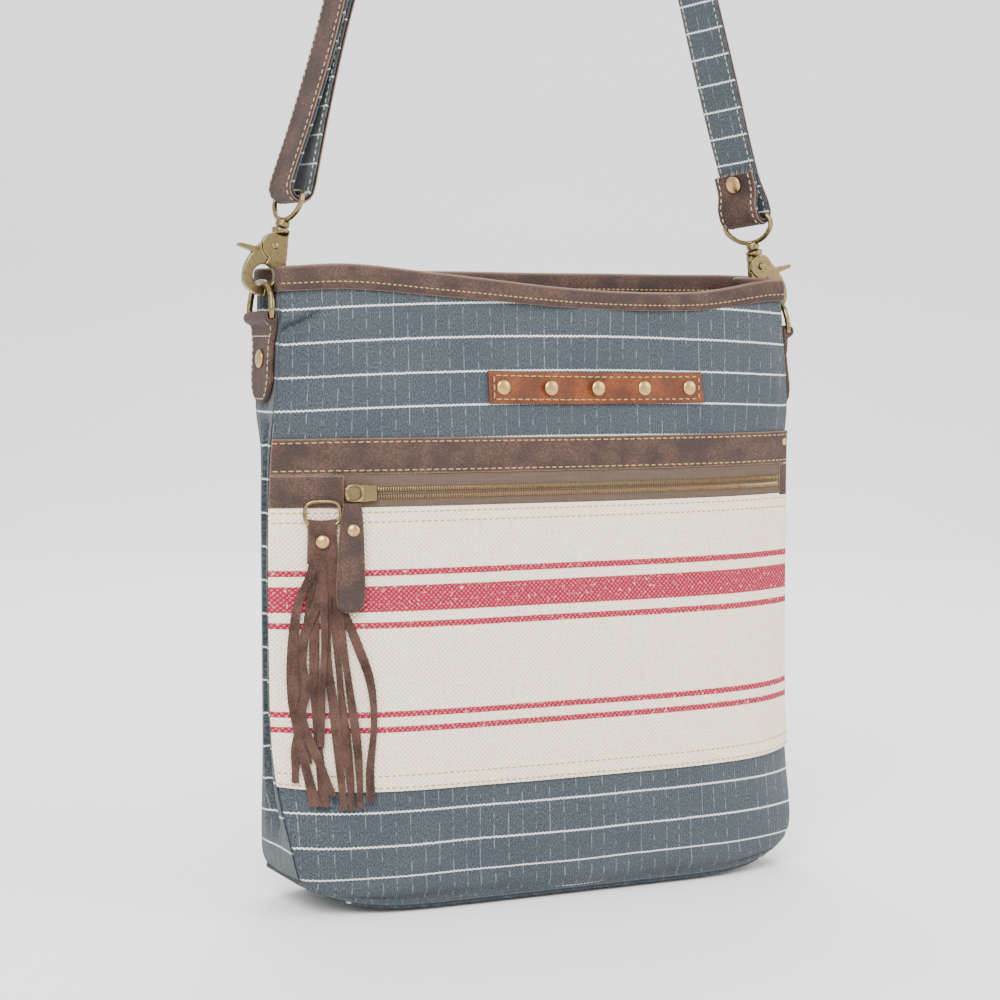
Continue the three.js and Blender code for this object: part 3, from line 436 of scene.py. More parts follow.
@dataclass(frozen=True)
class Canvas(Finish):
    """Cream canvas with printed plain bands.

    Attributes:
        bands: Middle height and width of each printed band, in mm.
        dark: Colour of the darker threads.
        light: Colour of the paler threads.
        hollow_shade: Colour of the painted shade between the threads.
        ink: Colour of the print.
    """

    bands: tuple[Pair, ...] = ((168.0, 3.2), (155.0, 13.0), (142.0, 3.2), (98.0, 3.0), (90.5, 3.0))
    dark: Colour = (238, 220, 192)
    light: Colour = (252, 240, 218)
    hollow_shade: Colour = (196, 176, 144)
    ink: Colour = (156, 20, 58)

    def paint(self, g: Graph, shader: bpy.types.Node) -> None:
        """Weaves the canvas, paints shade between the threads and prints the bands."""
        place = self.place(g)
        weave = self.group(g, weave_group(), Place=place, Pitch=1.25)
        height, shade = weave.outputs
        cloth = g.mix(g.ramp(shade, 0.3, 0.7), linear(self.dark), linear(self.light))
        # Painted shade between the threads.
        between = g.times(g.ramp(height, 0.4, 0.0), 0.6)
        cloth = g.mix(between, cloth, linear(self.hollow_shade))
        _, along, _ = g.axes(place)
        ragged = g.times(g.less(g.noise(place, 1.3, 4.0), 0.5), 1.1)
        level = g.plus(along, ragged)
        print_mask: object = 0.0
        for middle, width in self.bands:
            off = g.math("ABSOLUTE", g.less(level, middle))
            band = g.less(1.0, g.ramp(off, width / 2 - 0.25, width / 2 + 0.2))
            print_mask = g.math("MAXIMUM", print_mask, band)
        thin = g.ramp(g.noise(place, 0.55, 5.0), 0.22, 0.42)
        high = g.math("MULTIPLY_ADD", g.ramp(height, 0.1, 0.5), 0.25, 0.75)
        ink = g.times(g.times(print_mask, thin), high)
        printed = g.mix(ink, cloth, linear(self.ink))
        g.fill(shader, {"Base Color": printed, "Specular IOR Level": 0.15})
        total = g.plus(height, g.times(shade, 0.4))
        self.bump(g, shader, total, 0.0008)


@dataclass(frozen=True)
class Leather(Finish):
    """Dyed leather with pebbled grain, painted shade in the grain's hollows and pale rubbed edges.

    Attributes:
        dark: Colour of the deep places.
        light: Colour of the high places.
        rubbed: Colour of rubbed edges.
        grain: Density of the pebbles, to the metre.
        depth: Depth of the grain in metres.
    """

    dark: Colour = (52, 35, 29)
    light: Colour = (84, 59, 49)
    rubbed: Colour = (142, 110, 90)
    grain: float = 900.0
    depth: float = 0.00034

    def paint(self, g: Graph, shader: bpy.types.Node) -> None:
        """Mixes the dye over the grain, with painted shade in the grain's hollows."""
        grain = self.group(g, grain_group(), Scale=self.grain)
        height, mottle, pebble = grain.outputs
        dye = g.mix(g.ramp(mottle, 0.34, 0.68), linear(self.dark), linear(self.light))
        # Painted shade in the hollows between the pebbles.
        hollow_shade = g.times(g.ramp(pebble, 0.45, 0.95), 0.6)
        dye = g.mix(hollow_shade, dye, linear(darker(self.dark)))
        edge_wear_and_shade = self.group(g, edge_wear_and_shade_group(), Place=self.place(g), Amount=0.55)
        rough = g.math("MULTIPLY_ADD", mottle, 0.25, self.roughness - 0.12)
        dye = g.mix(edge_wear_and_shade.outputs[0], dye, linear(self.rubbed))
        g.fill(shader, {"Base Color": dye, "Roughness": rough, "Specular IOR Level": 0.35})
        self.bump(g, shader, height, self.depth)


@dataclass(frozen=True)
class Brass(Finish):
    """Antique brass: bright where it is rubbed, dark in the hollows from patina and painted shade.

    Attributes:
        bright: Colour of rubbed metal.
        dull: Colour of the patina and of the painted shade in the hollows.
        patina: How much patina covers the metal, 0 to 1.
    """

    bright: Colour = (136, 119, 82)
    dull: Colour = (42, 34, 22)
    patina: float = 0.5

    def paint(self, g: Graph, shader: bpy.types.Node) -> None:
        """Mixes patina, painted shade in the hollows and rubbed metal."""
        place = g.add("TexCoord").outputs["Object"]
        blotch = g.noise(place, 420.0, 4.0)
        scratch = g.noise(g.stretched(place, (300.0, 2200.0, 500.0)), 1.0, 2.0)
        cover = 0.3 * self.patina
        spread = g.times(g.ramp(blotch, 0.6 - cover, 0.95 - cover), 0.6)
        # Darker in the hollows: partly patina, partly painted shade.
        hollow_shade = g.ramp(g.add("NewGeometry").outputs["Pointiness"], 0.505, 0.47)
        patina_and_shade = g.math("MAXIMUM", spread, hollow_shade)
        colour = g.mix(patina_and_shade, linear(self.bright), linear(self.dull))
        rough = g.math("MULTIPLY_ADD", patina_and_shade, 0.18, self.roughness)
        rough = g.math("MULTIPLY_ADD", scratch, 0.08, rough)
        g.fill(shader, {"Base Color": colour, "Roughness": rough, "Metallic": 1.0})
        self.bump(g, shader, g.plus(blotch, g.times(scratch, 0.3)), 0.00008)


@dataclass(frozen=True)
class Suede(Finish):
    """Napped suede.

    Attributes:
        dark: Colour of the brushed nap.
        light: Colour of the raised nap.
    """

    dark: Colour = (40, 27, 23)
    light: Colour = (88, 62, 53)

    def paint(self, g: Graph, shader: bpy.types.Node) -> None:
        """Mixes the nap."""
        place = g.add("TexCoord").outputs["Object"]
        nap = g.noise(place, 1500.0, 4.0)
        patch = g.noise(place, 90.0, 4.0)
        tone = g.blend(nap, 0.5, patch, 0.5)
        colour = g.mix(g.ramp(tone, 0.32, 0.68), linear(self.dark), linear(self.light))
        g.fill(shader, {"Base Color": colour, "Sheen Weight": 0.25, "Specular IOR Level": 0.15})
        self.bump(g, shader, nap, 0.0003)


@dataclass(frozen=True)
class Tape(Finish):
    """Ribbed zip tape.

    Attributes:
        dark: Colour between the ribs, partly painted shade in the weave's low places.
        light: Colour of the ribs.
    """

    dark: Colour = (60, 47, 38)
    light: Colour = (96, 77, 62)

    def paint(self, g: Graph, shader: bpy.types.Node) -> None:
        """Weaves the tape, with painted shade in its low places."""
        place = self.place(g)
        weave = self.group(g, weave_group(), Place=place, Pitch=0.55)
        height, shade = weave.outputs
        # Low places of the weave are darker, partly as painted shade.
        tone = g.blend(height, 0.4, shade, 0.6)
        colour = g.mix(g.ramp(tone, 0.25, 0.75), linear(self.dark), linear(self.light))
        g.feed(shader.inputs["Base Color"], colour)
        self.bump(g, shader, height, 0.00015)


@dataclass(frozen=True)
class Thread(Finish):
    """Twisted sewing thread with painted shade in the grooves of its twist.

    Attributes:
        colour: Colour of the thread.
    """

    colour: Colour = (200, 166, 108)

    def paint(self, g: Graph, shader: bpy.types.Node) -> None:
        """Twists the thread and paints shade in its grooves."""
        place = g.add("TexCoord").outputs["Object"]
        twist = g.add("TexWave", {"Vector": place, "Scale": 900.0, "Distortion": 3.0}).outputs[1]
        # Painted shade in the grooves of the twist.
        colour = g.mix(twist, linear(darker(self.colour)), linear(self.colour))
        g.feed(shader.inputs["Base Color"], colour)
        self.bump(g, shader, twist, 0.0001)


DENIM = Denim("striped_denim", "denim", 0.88)
STRAP_DENIM = Denim("strap_denim_cloth", "denim", 0.88, pitch=14.6, phase=3.0)
CANVAS = Canvas("cream_canvas", "canvas", 0.92)
BROWN = Leather("pebbled_brown_leather", "brown_leather", 0.66)
TAN = Leather("saddle_tan_leather", "tan_leather", 0.5, dark=(86, 38, 9), light=(128, 63, 18),
              rubbed=(84, 38, 18), grain=1300.0, depth=0.00012)
SUEDE = Suede("brown_suede", "suede", 0.95)
TAPE = Tape("zip_tape_cloth", "zip_tape", 0.85)
AGED_BRASS = Brass("antique_brass", "aged_brass", 0.24)
COIL_BRASS = Brass("dark_coil", "aged_brass", 0.4, bright=(140, 118, 84), dull=(62, 50, 36),
                   patina=0.35)
RIVET_BRASS = Brass("rivet_brass", "rivets", 0.26, bright=(186, 152, 102), dull=(104, 78, 46),
                    patina=0.35)
GOLD_THREAD = Thread("gold_thread", "canvas", 0.7)
CREAM_THREAD = Thread("cream_thread", "canvas", 0.75, colour=(206, 188, 156))


# Level sections of the bag: height as a share of the bag's, width and shift of half its width,
# edge and belly depth of half its depth, the power of the curve and the share of the fold.
SECTIONS = {
    "height": (0, 0.03, 0.08, 0.15, 0.25, 0.4, 0.63, 0.72, 0.78, 0.84, 0.92, 0.95, 1),
    "width": (0.925, 0.952, 0.966, 0.982, 0.995, 1, 1, 0.995, 0.988, 0.975, 0.962, 0.958, 0.953),
    "shift": (0, 0, 0, 0, 0, 0, 0, 0, -0.008, -0.014, -0.02, -0.022, -0.024),
    "edge": (0.55, 0.6, 0.53, 0.36, 0.2, 0.15, 0.15, 0.19, 0.32, 0.39, 0.41, 0.415, 0.42),
    "belly": (0.93, 1, 1, 0.98, 0.92, 0.8, 0.62, 0.57, 0.54, 0.52, 0.5, 0.495, 0.49),
    "flat": (6, 6, 6, 5.5, 5, 4.5, 4, 4, 4, 4, 4, 4, 4),
    "fold": (0, 0, 0.05, 0.4, 0.9, 1, 1, 0.7, 0, 0, 0.3, 0.6, 0.76),
}
MOUTH = {
    "across": (-1, -0.77, -0.43, 0.1, 0.6, 0.93, 1),
    "dip": (0, -0.18, 0.2, 0.88, 1, 0.35, 0.28),
}


def along(table: dict, key: str, column: str, place: Array) -> Array:
    """Value of a table's column at a place, on a smooth curve through its rows.

    Args:
        table: Columns by name.
        key: Column that holds the places.
        column: Column that holds the values.
        place: Places to look up.

    Returns:
        The values.
    """
    keys = np.asarray(table[key], float)
    values = np.asarray(table[column], float)
    place = np.asarray(place, float)
    row = np.clip(np.searchsorted(keys, place, side="left") - 1, 0, len(keys) - 2)
    before = np.maximum(np.arange(len(keys)) - 1, 0)
    after = np.minimum(np.arange(len(keys)) + 1, len(keys) - 1)
    slope = (values[after] - values[before]) / (keys[after] - keys[before])
    span = keys[row + 1] - keys[row]
    f = np.clip((place - keys[row]) / span, 0, 1)
    rise = values[row + 1] - values[row]
    bend = f * (1 - f) * span * ((1 - f) * slope[row] - f * slope[row + 1])
    return values[row] + rise * (3 * f**2 - 2 * f**3) + bend


def step(value: Array, low: float, high: float) -> Array:
    """Smooth step of an array from 0 at low to 1 at high."""
    f = np.clip((value - low) / (high - low), 0, 1)
    return f * f * (3 - 2 * f)


def bell(value: Array, middle: float, spread: float) -> Array:
    """Bell curve of height 1 around a middle."""
    return np.exp(-(((value - middle) / spread) ** 2))


def unit(vectors: Array) -> Array:
    """Vectors of the last axis brought to length 1."""
    return vectors / np.linalg.norm(vectors, axis=-1, keepdims=True)


def run_of(path: Array) -> Array:
    """Distance along a path at each of its points."""
    gaps = np.linalg.norm(np.diff(path, axis=0), axis=1)
    return np.concatenate([[0.0], np.cumsum(gaps)])


def at_run(place: float | Array, run: Array, rows: Array) -> Array:
    """Rows of numbers read off at distances along a path, given the distance at each row."""
    return np.stack([np.interp(place, run, rows[:, k]) for k in range(rows.shape[1])], -1)


def round_angles(count: int) -> Array:
    """Evenly spaced angles of one whole turn."""
    return np.linspace(0, 2 * math.pi, count + 1)[:-1]


def frame_origin() -> Array:
    """Place of the bag's own origin in the frame, in mm, read from its base."""
    low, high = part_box("base_panel")
    return np.array([(low[0] + high[0]) / 2, 0.0, low[2]]) / MM


@dataclass(frozen=True)
class BagShape:
    """Outer faces of the bag, in mm, with the bag standing on z = 0.

    Attributes:
        width: Whole width.
        height: Height of the sides.
        depth: Depth of the base.
        wall: Thickness of the cloth.
        corner_lift: How far the ends of the base curl up.
        mouth_dip: How far the front of the mouth sinks.
        fold_depth: How far the gussets fold in.
        rim_height: Height of the bound edge.
    """

    width: float = 300.0
    height: float = 318.0
    depth: float = 86.0
    wall: float = 1.6
    corner_lift: float = 12.0
    mouth_dip: float = 10.5
    fold_depth: float = 26.0
    rim_height: float = 10.5

    def column(self, name: str, t: Array) -> Array:
        """Value of a section column at shares t of the height."""
        return along(SECTIONS, "height", name, t)

    def half_width(self, t: Array) -> Array:
        """Half width at shares t of the height."""
        return self.width / 2 * self.column("width", t)

    def centre(self, t: Array) -> Array:
        """Sideways shift at shares t of the height."""
        return self.width / 2 * self.column("shift", t)

    def edge(self, t: Array) -> Array:
        """Half depth at the side seams."""
        return self.depth / 2 * self.column("edge", t)

    def half_depth(self, s: Array, t: Array) -> Array:
        """Half depth at shares s across and t up."""
        belly = self.depth / 2 * self.column("belly", t)
        edge = self.edge(t)
        return edge + (belly - edge) * (1 - np.abs(s) ** self.column("flat", t))

    def lift(self, s: Array, t: Array) -> Array:
        """How far the ends of the base curl up."""
        reach = np.maximum(0, (np.abs(s) - 0.5) / 0.5)
        return self.corner_lift * reach**3 * np.maximum(0, 1 - 3 * t) ** 2

    def sink(self, s: Array, t: Array) -> Array:
        """How far the front of the mouth sinks."""
        return self.mouth_dip * along(MOUTH, "across", "dip", s) * t**8

    def wall_point(self, face: int, s: Array, t: Array) -> Array:
        """Points of the front (face -1) or the back (face 1).

        Args:
            face: Which face.
            s: Shares across, -1 at the left.
            t: Shares up.

        Returns:
            Points with their coordinates in the last axis.
        """
        dip = self.sink(s, t) if face < 0 else np.zeros_like(s + t)
        x = self.centre(t) + self.half_width(t) * s
        y = face * self.half_depth(s, t)
        return np.stack(np.broadcast_arrays(x, y, self.height * t + self.lift(s, t) - dip), -1)

    def gusset_point(self, side: int, v: Array, t: Array) -> Array:
        """Points of a gusset.

        Args:
            side: -1 left, 1 right.
            v: Shares from one seam to the other.
            t: Shares up.

        Returns:
            Points with their coordinates in the last axis.
        """
        fold = self.fold_depth * np.maximum(0, self.column("fold", t))
        edge = self.edge(t)
        y = side * v * (edge - self.wall - 0.3)
        soft = np.sqrt(v**2 + 0.012)
        x = self.centre(t) + side * (self.half_width(t) - fold * np.maximum(0, 1 - soft / 0.667))
        dip = self.sink(np.full_like(t + v, float(side)), t) * (0.5 - y / (2 * edge))
        z = self.height * t + self.lift(np.ones_like(t), t) - dip
        return np.stack(np.broadcast_arrays(x, y, z), -1)

    def across(self, x: Array, z: Array) -> Array:
        """Share across of a place on the front."""
        t = np.asarray(z, float) / self.height
        return (np.asarray(x, float) - self.centre(t)) / self.half_width(t)

    def face_normal(self, face: int, s: Array, t: Array, nudge: float) -> Array:
        """Outward normals of the front or the back.

        Args:
            face: -1 for the front, 1 for the back.
            s: Shares across.
            t: Shares up.
            nudge: Share by which the places are moved to measure the slope.

        Returns:
            Unit normals.
        """
        across = self.wall_point(face, s + nudge, t) - self.wall_point(face, s - nudge, t)
        up = self.wall_point(face, s, t + nudge) - self.wall_point(face, s, t - nudge)
        return unit(np.cross(across, up) * (1 if face < 0 else -1))

    def relief(self, face: int, x: Array, z: Array) -> Array:
        """Soft folds of the cloth, in mm out of the wall.

        Args:
            face: -1 for the front, 1 for the back.
            x: Places across.
            z: Heights.

        Returns:
            How far each place stands out.
        """
        turn = 0.0 if face < 0 else 1.9
        waves = 0.9 * np.sin(x / 34 + z / 58 + 0.4 + turn)
        waves += 0.65 * np.sin(x / 21 - z / 43 + 2.1 + 2 * turn)
        waves += 0.4 * np.sin(x / 12.5 + z / 27 + 0.9 + 3 * turn)
        waves += 0.25 * np.sin(x / 7.3 - z / 19 + 1.7 + turn)
        upper = 1 + 0.9 * step(z, 236, 262) + 0.5 * bell(z, 30, 22)
        bottom = 1.1 * bell(z, 11.5, 3.2) - 1.3 * bell(z, 5.5, 2.2)
        total = waves * upper * 0.8 + bottom * (1 - 0.5 * bell(x, 0, 60))
        if face < 0:
            off = (z - 295.5) - 0.47 * (x + 131)
            near = bell(x, -139, 15)
            crease = -3.8 * bell(off, 0, 1.9) + 2.2 * bell(off, -4.6, 3.2) + bell(off, 5, 2.6)
            crease = near * crease
            total += 1.0 * bell(x, 128, 16) * bell(z, 285, 14)
        else:
            crease = 0.0
        edge = np.abs((x - self.centre(z / self.height)) / self.half_width(z / self.height))
        top = 1 - step(z, 298, 306)
        fade = (1 - step(edge, 0.93, 1.0)) * top * step(z, 1, 7)
        return total * fade + crease * top * (1 - step(edge, 0.99, 1.0))


SHAPE = BagShape()
ORIGIN = frame_origin()


def normals_of(points: Array) -> Array:
    """Unit normals of a grid of points, rows first, to the left of the columns' way round."""
    normal = np.cross(np.gradient(points, axis=1), np.gradient(points, axis=0))
    return normal / np.maximum(np.linalg.norm(normal, axis=-1, keepdims=True), 1e-9)


class Piece:
    """Collects points, faces and cloth coordinates of one visible piece."""

    def __init__(self, name: str, finish: Finish, body: str = ROOT_BODY) -> None:
        """Starts an empty piece.

        Args:
            name: Object name.
            finish: Finish of its surface.
            body: Body that it rides on.
        """
        self.name = name
        self.finish = finish
        self.body = body
        self.points: list[Array] = []
        self.cloth: list[Array] = []
        self.faces: list[tuple[int, ...]] = []
        self.count = 0

    def add(self, points: Array, faces: list[tuple[int, ...]], cloth: Array | None = None) -> None:
        """Adds a closed mesh, turned so that its faces point out.

        Args:
            points: Points in mm.
            faces: Rings of point numbers.
            cloth: Cloth coordinates of the points.
        """
        points = np.asarray(points, float).reshape(-1, 3)
        middle = points.mean(axis=0)
        first = np.array([f[0] for f in faces])
        volume = 0.0
        for k in (1, 2):
            b = np.array([f[k] if len(f) > k + 1 else f[1] for f in faces])
            c = np.array([f[k + 1] if len(f) > k + 1 else f[2] for f in faces])
            use = np.array([len(f) > k + 1 or k == 1 for f in faces])
            p, q, r = points[first] - middle, points[b] - middle, points[c] - middle
            volume += (np.einsum("ij,ij->i", p, np.cross(q, r)) * use).sum()
        turn = slice(None, None, -1) if volume < 0 else slice(None)
        start = self.count
        self.faces += [tuple(start + i for i in f)[turn] for f in faces]
        self.points.append(points)
        self.cloth.append(np.zeros_like(points) if cloth is None else cloth.reshape(-1, 3))
        self.count += len(points)

    def slab(self, outer: Array, inner: Array, cloth: Array) -> None:
        """Adds a sheet between two grids of points.

        Args:
            outer: Outer grid.
            inner: Inner grid of the same size.
            cloth: Cloth coordinates of the grid.
        """
        rows, columns = outer.shape[:2]
        half = rows * columns
        index = np.arange(half).reshape(rows, columns)
        a, b = index[:-1, :-1].ravel(), index[:-1, 1:].ravel()
        c, d = index[1:, 1:].ravel(), index[1:, :-1].ravel()
        faces = list(zip(a, b, c, d))
        faces += list(zip(a + half, d + half, c + half, b + half))
        ring = [*index[0, :], *index[1:, -1], *index[-1, -2::-1], *index[-2:0:-1, 0]]
        for i, k in enumerate(ring):
            n = ring[(i + 1) % len(ring)]
            faces.append((n, k, k + half, n + half))
        points = np.concatenate([outer.reshape(-1, 3), inner.reshape(-1, 3)])
        self.add(points, faces, np.concatenate([cloth.reshape(-1, 3)] * 2))

    def tube(self, rings: Array, closed: bool = False, cloth: Array | None = None) -> None:
        """Adds a skin through rings of points, capped at its ends unless it is closed.

        Args:
            rings: Rings of points, one row each.
            closed: Whether the last ring joins the first.
            cloth: Cloth coordinates of the points.
        """
        count, sides = rings.shape[:2]
        index = np.arange(count * sides).reshape(count, sides)
        if closed:
            index = np.concatenate([index, index[:1]])
        nxt = np.roll(index, -1, axis=1)
        faces = list(zip(index[:-1].ravel(), nxt[:-1].ravel(), nxt[1:].ravel(), index[1:].ravel()))
        if not closed:
            faces.append(tuple(index[0][::-1]))
            faces.append(tuple(index[-1]))
        self.add(rings.reshape(-1, 3), faces, cloth)

    def build(self, *stands_for: str, world: bool = False, smooth: float = 40) -> bpy.types.Object:
        """Makes the object, dresses it and lets it ride on its body.

        Args:
            *stands_for: CAD nodes that it replaces.
            world: Whether the points are in the frame already.
            smooth: Angle in degrees up to which edges are shaded smooth.

        Returns:
            The new object.
        """
        points = np.concatenate(self.points)
        if not world:
            points = points + ORIGIN
        mesh = bpy.data.meshes.new(self.name)
        mesh.from_pydata((points * MM).tolist(), [], self.faces)
        data = mesh.attributes.new("cloth", "FLOAT_VECTOR", "POINT")
        data.data.foreach_set("vector", np.concatenate(self.cloth).astype(np.float32).ravel())
        mesh.materials.append(self.finish.material())
        mesh.polygons.foreach_set("use_smooth", [True] * len(mesh.polygons))
        mesh.set_sharp_from_angle(angle=math.radians(smooth))
        obj = bpy.data.objects.new(self.name, mesh)
        bpy.context.scene.collection.objects.link(obj)
        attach(obj, self.body)
        if stands_for:
            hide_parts(*stands_for)
        LOG.info("%s: %d faces", self.name, len(mesh.polygons))
        return obj


@dataclass(frozen=True)
class Sewing:
    """One kind of sewn row.

    Attributes:
        pitch: Distance from stitch to stitch.
        length: Length of a stitch.
        radius: Radius of the thread.
        stations: Along each stitch: place as a share of its length, thickness as a share of the
            thread's, and height in thread radii.
        uneven: How far a stitch may be off its place, in mm.
        tilt: How far it may lean, as a share of its length.
    """

    pitch: float
    length: float
    radius: float
    stations: tuple[Place, ...] = (
        (-0.5, 0.45, -0.7), (-0.34, 0.9, 0.15), (0.0, 1.0, 0.45), (0.34, 0.9, 0.15),
        (0.5, 0.45, -0.7),
    )
    uneven: float = 0.12
    tilt: float = 0.1

    def sew(self, piece: Piece, path: Array, normal: Array, seed: int) -> None:
        """Adds a row of stitches along a path.

        Args:
            piece: Piece that the stitches go to.
            path: Points of the path on the sewn surface.
            normal: Outward normals at those points.
            seed: Seed of the small unevenness.
        """
        rng = random.Random(seed)
        run = run_of(path)
        count = max(1, int((run[-1] - self.length) / self.pitch) + 1)
        start = (run[-1] - (count - 1) * self.pitch) / 2
        ring = np.array([(math.cos(a), math.sin(a)) for a in np.arange(5) * 2 * math.pi / 5])
        probe = 0.3
        for i in range(count):
            middle = start + i * self.pitch + rng.uniform(-self.uneven, self.uneven)
            tilt = rng.uniform(-self.tilt, self.tilt)
            rings = []
            for share, size, sink in self.stations:
                at = middle + share * self.length
                up = unit(at_run(at, run, normal))
                way = at_run(at + probe, run, path) - at_run(at - probe, run, path)
                way = way / max(np.linalg.norm(way), 1e-9)
                side = np.cross(way, up)
                lean = side * tilt * share * self.length
                centre = at_run(at, run, path) + up * self.radius * sink + lean
                thread = ring[:, :1] * side + ring[:, 1:] * up
                rings.append(centre + self.radius * size * thread)
            piece.tube(np.array(rings))


BAND_ROW = Sewing(3.9, 2.9, 0.36)
CANVAS_ROW = Sewing(3.4, 2.5, 0.3)
PATCH_ROW = Sewing(4.1, 3.0, 0.38)
MOUTH_ROW = Sewing(2.9, 2.15, 0.33)
STRAP_ROW = Sewing(3.7, 2.6, 0.33)
TAB_ROW = Sewing(3.4, 2.5, 0.32)
NECK_ROW = Sewing(3.2, 2.3, 0.32)
ZIP_TOOTH = Sewing(9.0, 2.7, 0.44)


class Side(Enum):
    """Sides of the bag with their sign along X."""

    LEFT = -1
    RIGHT = 1

    @property
    def label(self) -> str:
        """Lower-case name of the side."""
        return self.name.lower()


@dataclass(frozen=True)
class Layer:
    """A sheet that follows a face of the bag.

    Attributes:
        name: Object name.
        finish: Its finish.
        low: Gap between the cloth's face and the sheet's back, in mm.
        high: Distance from the cloth's face to the sheet's face.
        columns: Cells across.
        rows: Cells up.
    """

    name: str
    finish: Finish
    low: float
    high: float
    columns: int
    rows: int

    def grid(self, area: Area) -> tuple[Array, Array]:
        """Shares across and up of the sheet's grid, denser at its edges.

        Args:
            area: Left end, right end, lower edge and upper edge.

        Returns:
            Shares across and shares up, as grids.
        """

        def shares(cells: int, dense: float, even: float) -> Array:
            """Cuts from 0 to 1, closer together at both ends."""
            curved = (1 - np.cos(np.linspace(0, math.pi, cells + 1))) / 2
            return dense * curved + even * np.linspace(0, 1, cells + 1)

        x0, x1, z0, z1 = area
        ends = np.clip(SHAPE.across(np.array([x0, x1]), (z0 + z1) / 2), -1, 1)
        s = ends[0] + (ends[1] - ends[0]) * shares(self.columns, 0.35, 0.65)
        t = (z0 + (z1 - z0) * shares(self.rows, 0.3, 0.7)) / SHAPE.height
        return np.meshgrid(s, t)

    def lay(
        self, piece: Piece, area: Area, face: int = -1,
        curl: Callable[[Array, Array], Array] | None = None,
    ) -> None:
        """Lays the sheet on the bag.

        Args:
            piece: Piece that it goes to.
            area: Left end, right end, lower edge and upper edge.
            face: -1 for the front, 1 for the back.
            curl: Extra height of the sheet at places across and up.
        """
        s, t = self.grid(area)
        base = SHAPE.wall_point(face, s, t)
        out = normals_of(base) * (1 if face < 0 else -1)
        x, z = base[..., 0], base[..., 2]
        bulge = SHAPE.relief(face, x, z)
        if curl is not None:
            bulge = bulge + curl(x, z)
        inward = np.minimum.reduce([
            np.abs(x - x[:, :1]), np.abs(x - x[:, -1:]), np.abs(z - z[:1]), np.abs(z - z[-1:]),
        ])
        # Nearness to the sheet's edge: rubbed wear on leather, painted seam shade on denim.
        edge = np.exp(-inward / 1.1)
        top = self.low + (self.high - self.low) * (1 - 0.35 * edge**2)
        drape = (3 + 2 * step(z, 250, 300)) * s**2 * step(z, 200, 240)
        drape -= 1.2 * step(z, 262, 300) + 4.5 * (1 - step(z, 4, 26))
        cloth = np.stack([x, z + drape, edge], -1)
        outer = base + out * (bulge + top)[..., None]
        inner = base + out * (bulge + self.low)[..., None]
        piece.slab(outer, inner, cloth)

    def build(self, node: str, area: Area, smooth: float = 40, **settings: object) -> None:
        """Builds a piece of this one sheet.

        Args:
            node: CAD node that it replaces.
            area: Left end, right end, lower edge and upper edge.
            smooth: Angle in degrees up to which edges are shaded smooth.
            **settings: What else the sheet is laid with.
        """
        piece = Piece(self.name, self.finish)
        self.lay(piece, area, **settings)
        piece.build(node, smooth=smooth)

    def path(self, points: Sequence[Pair]) -> tuple[Array, Array]:
        """A sewing line on a sheet of the front.

        Args:
            points: Corners of the line as places across and up.

        Returns:
            Points on the sheet's face and their normals.
        """
        places = []
        for (x0, z0), (x1, z1) in zip(points[:-1], points[1:]):
            count = max(2, int(math.hypot(x1 - x0, z1 - z0) / 1.5))
            for i in range(count):
                places.append((x0 + (x1 - x0) * i / count, z0 + (z1 - z0) * i / count))
        places.append(points[-1])
        x, z = np.array(places).T
        s = np.clip(SHAPE.across(x, z), -1, 1)
        t = z / SHAPE.height
        here = SHAPE.wall_point(-1, s, t)
        out = SHAPE.face_normal(-1, s, t, 0.002)
        lift = SHAPE.relief(-1, here[:, 0], here[:, 2]) + self.high
        return here + out * lift[:, None], out

    def seam_row(self, z: float) -> tuple[Array, Array]:
        """A sewing line across the whole front at one height."""
        return self.path(((-SEAM, z), (SEAM, z)))


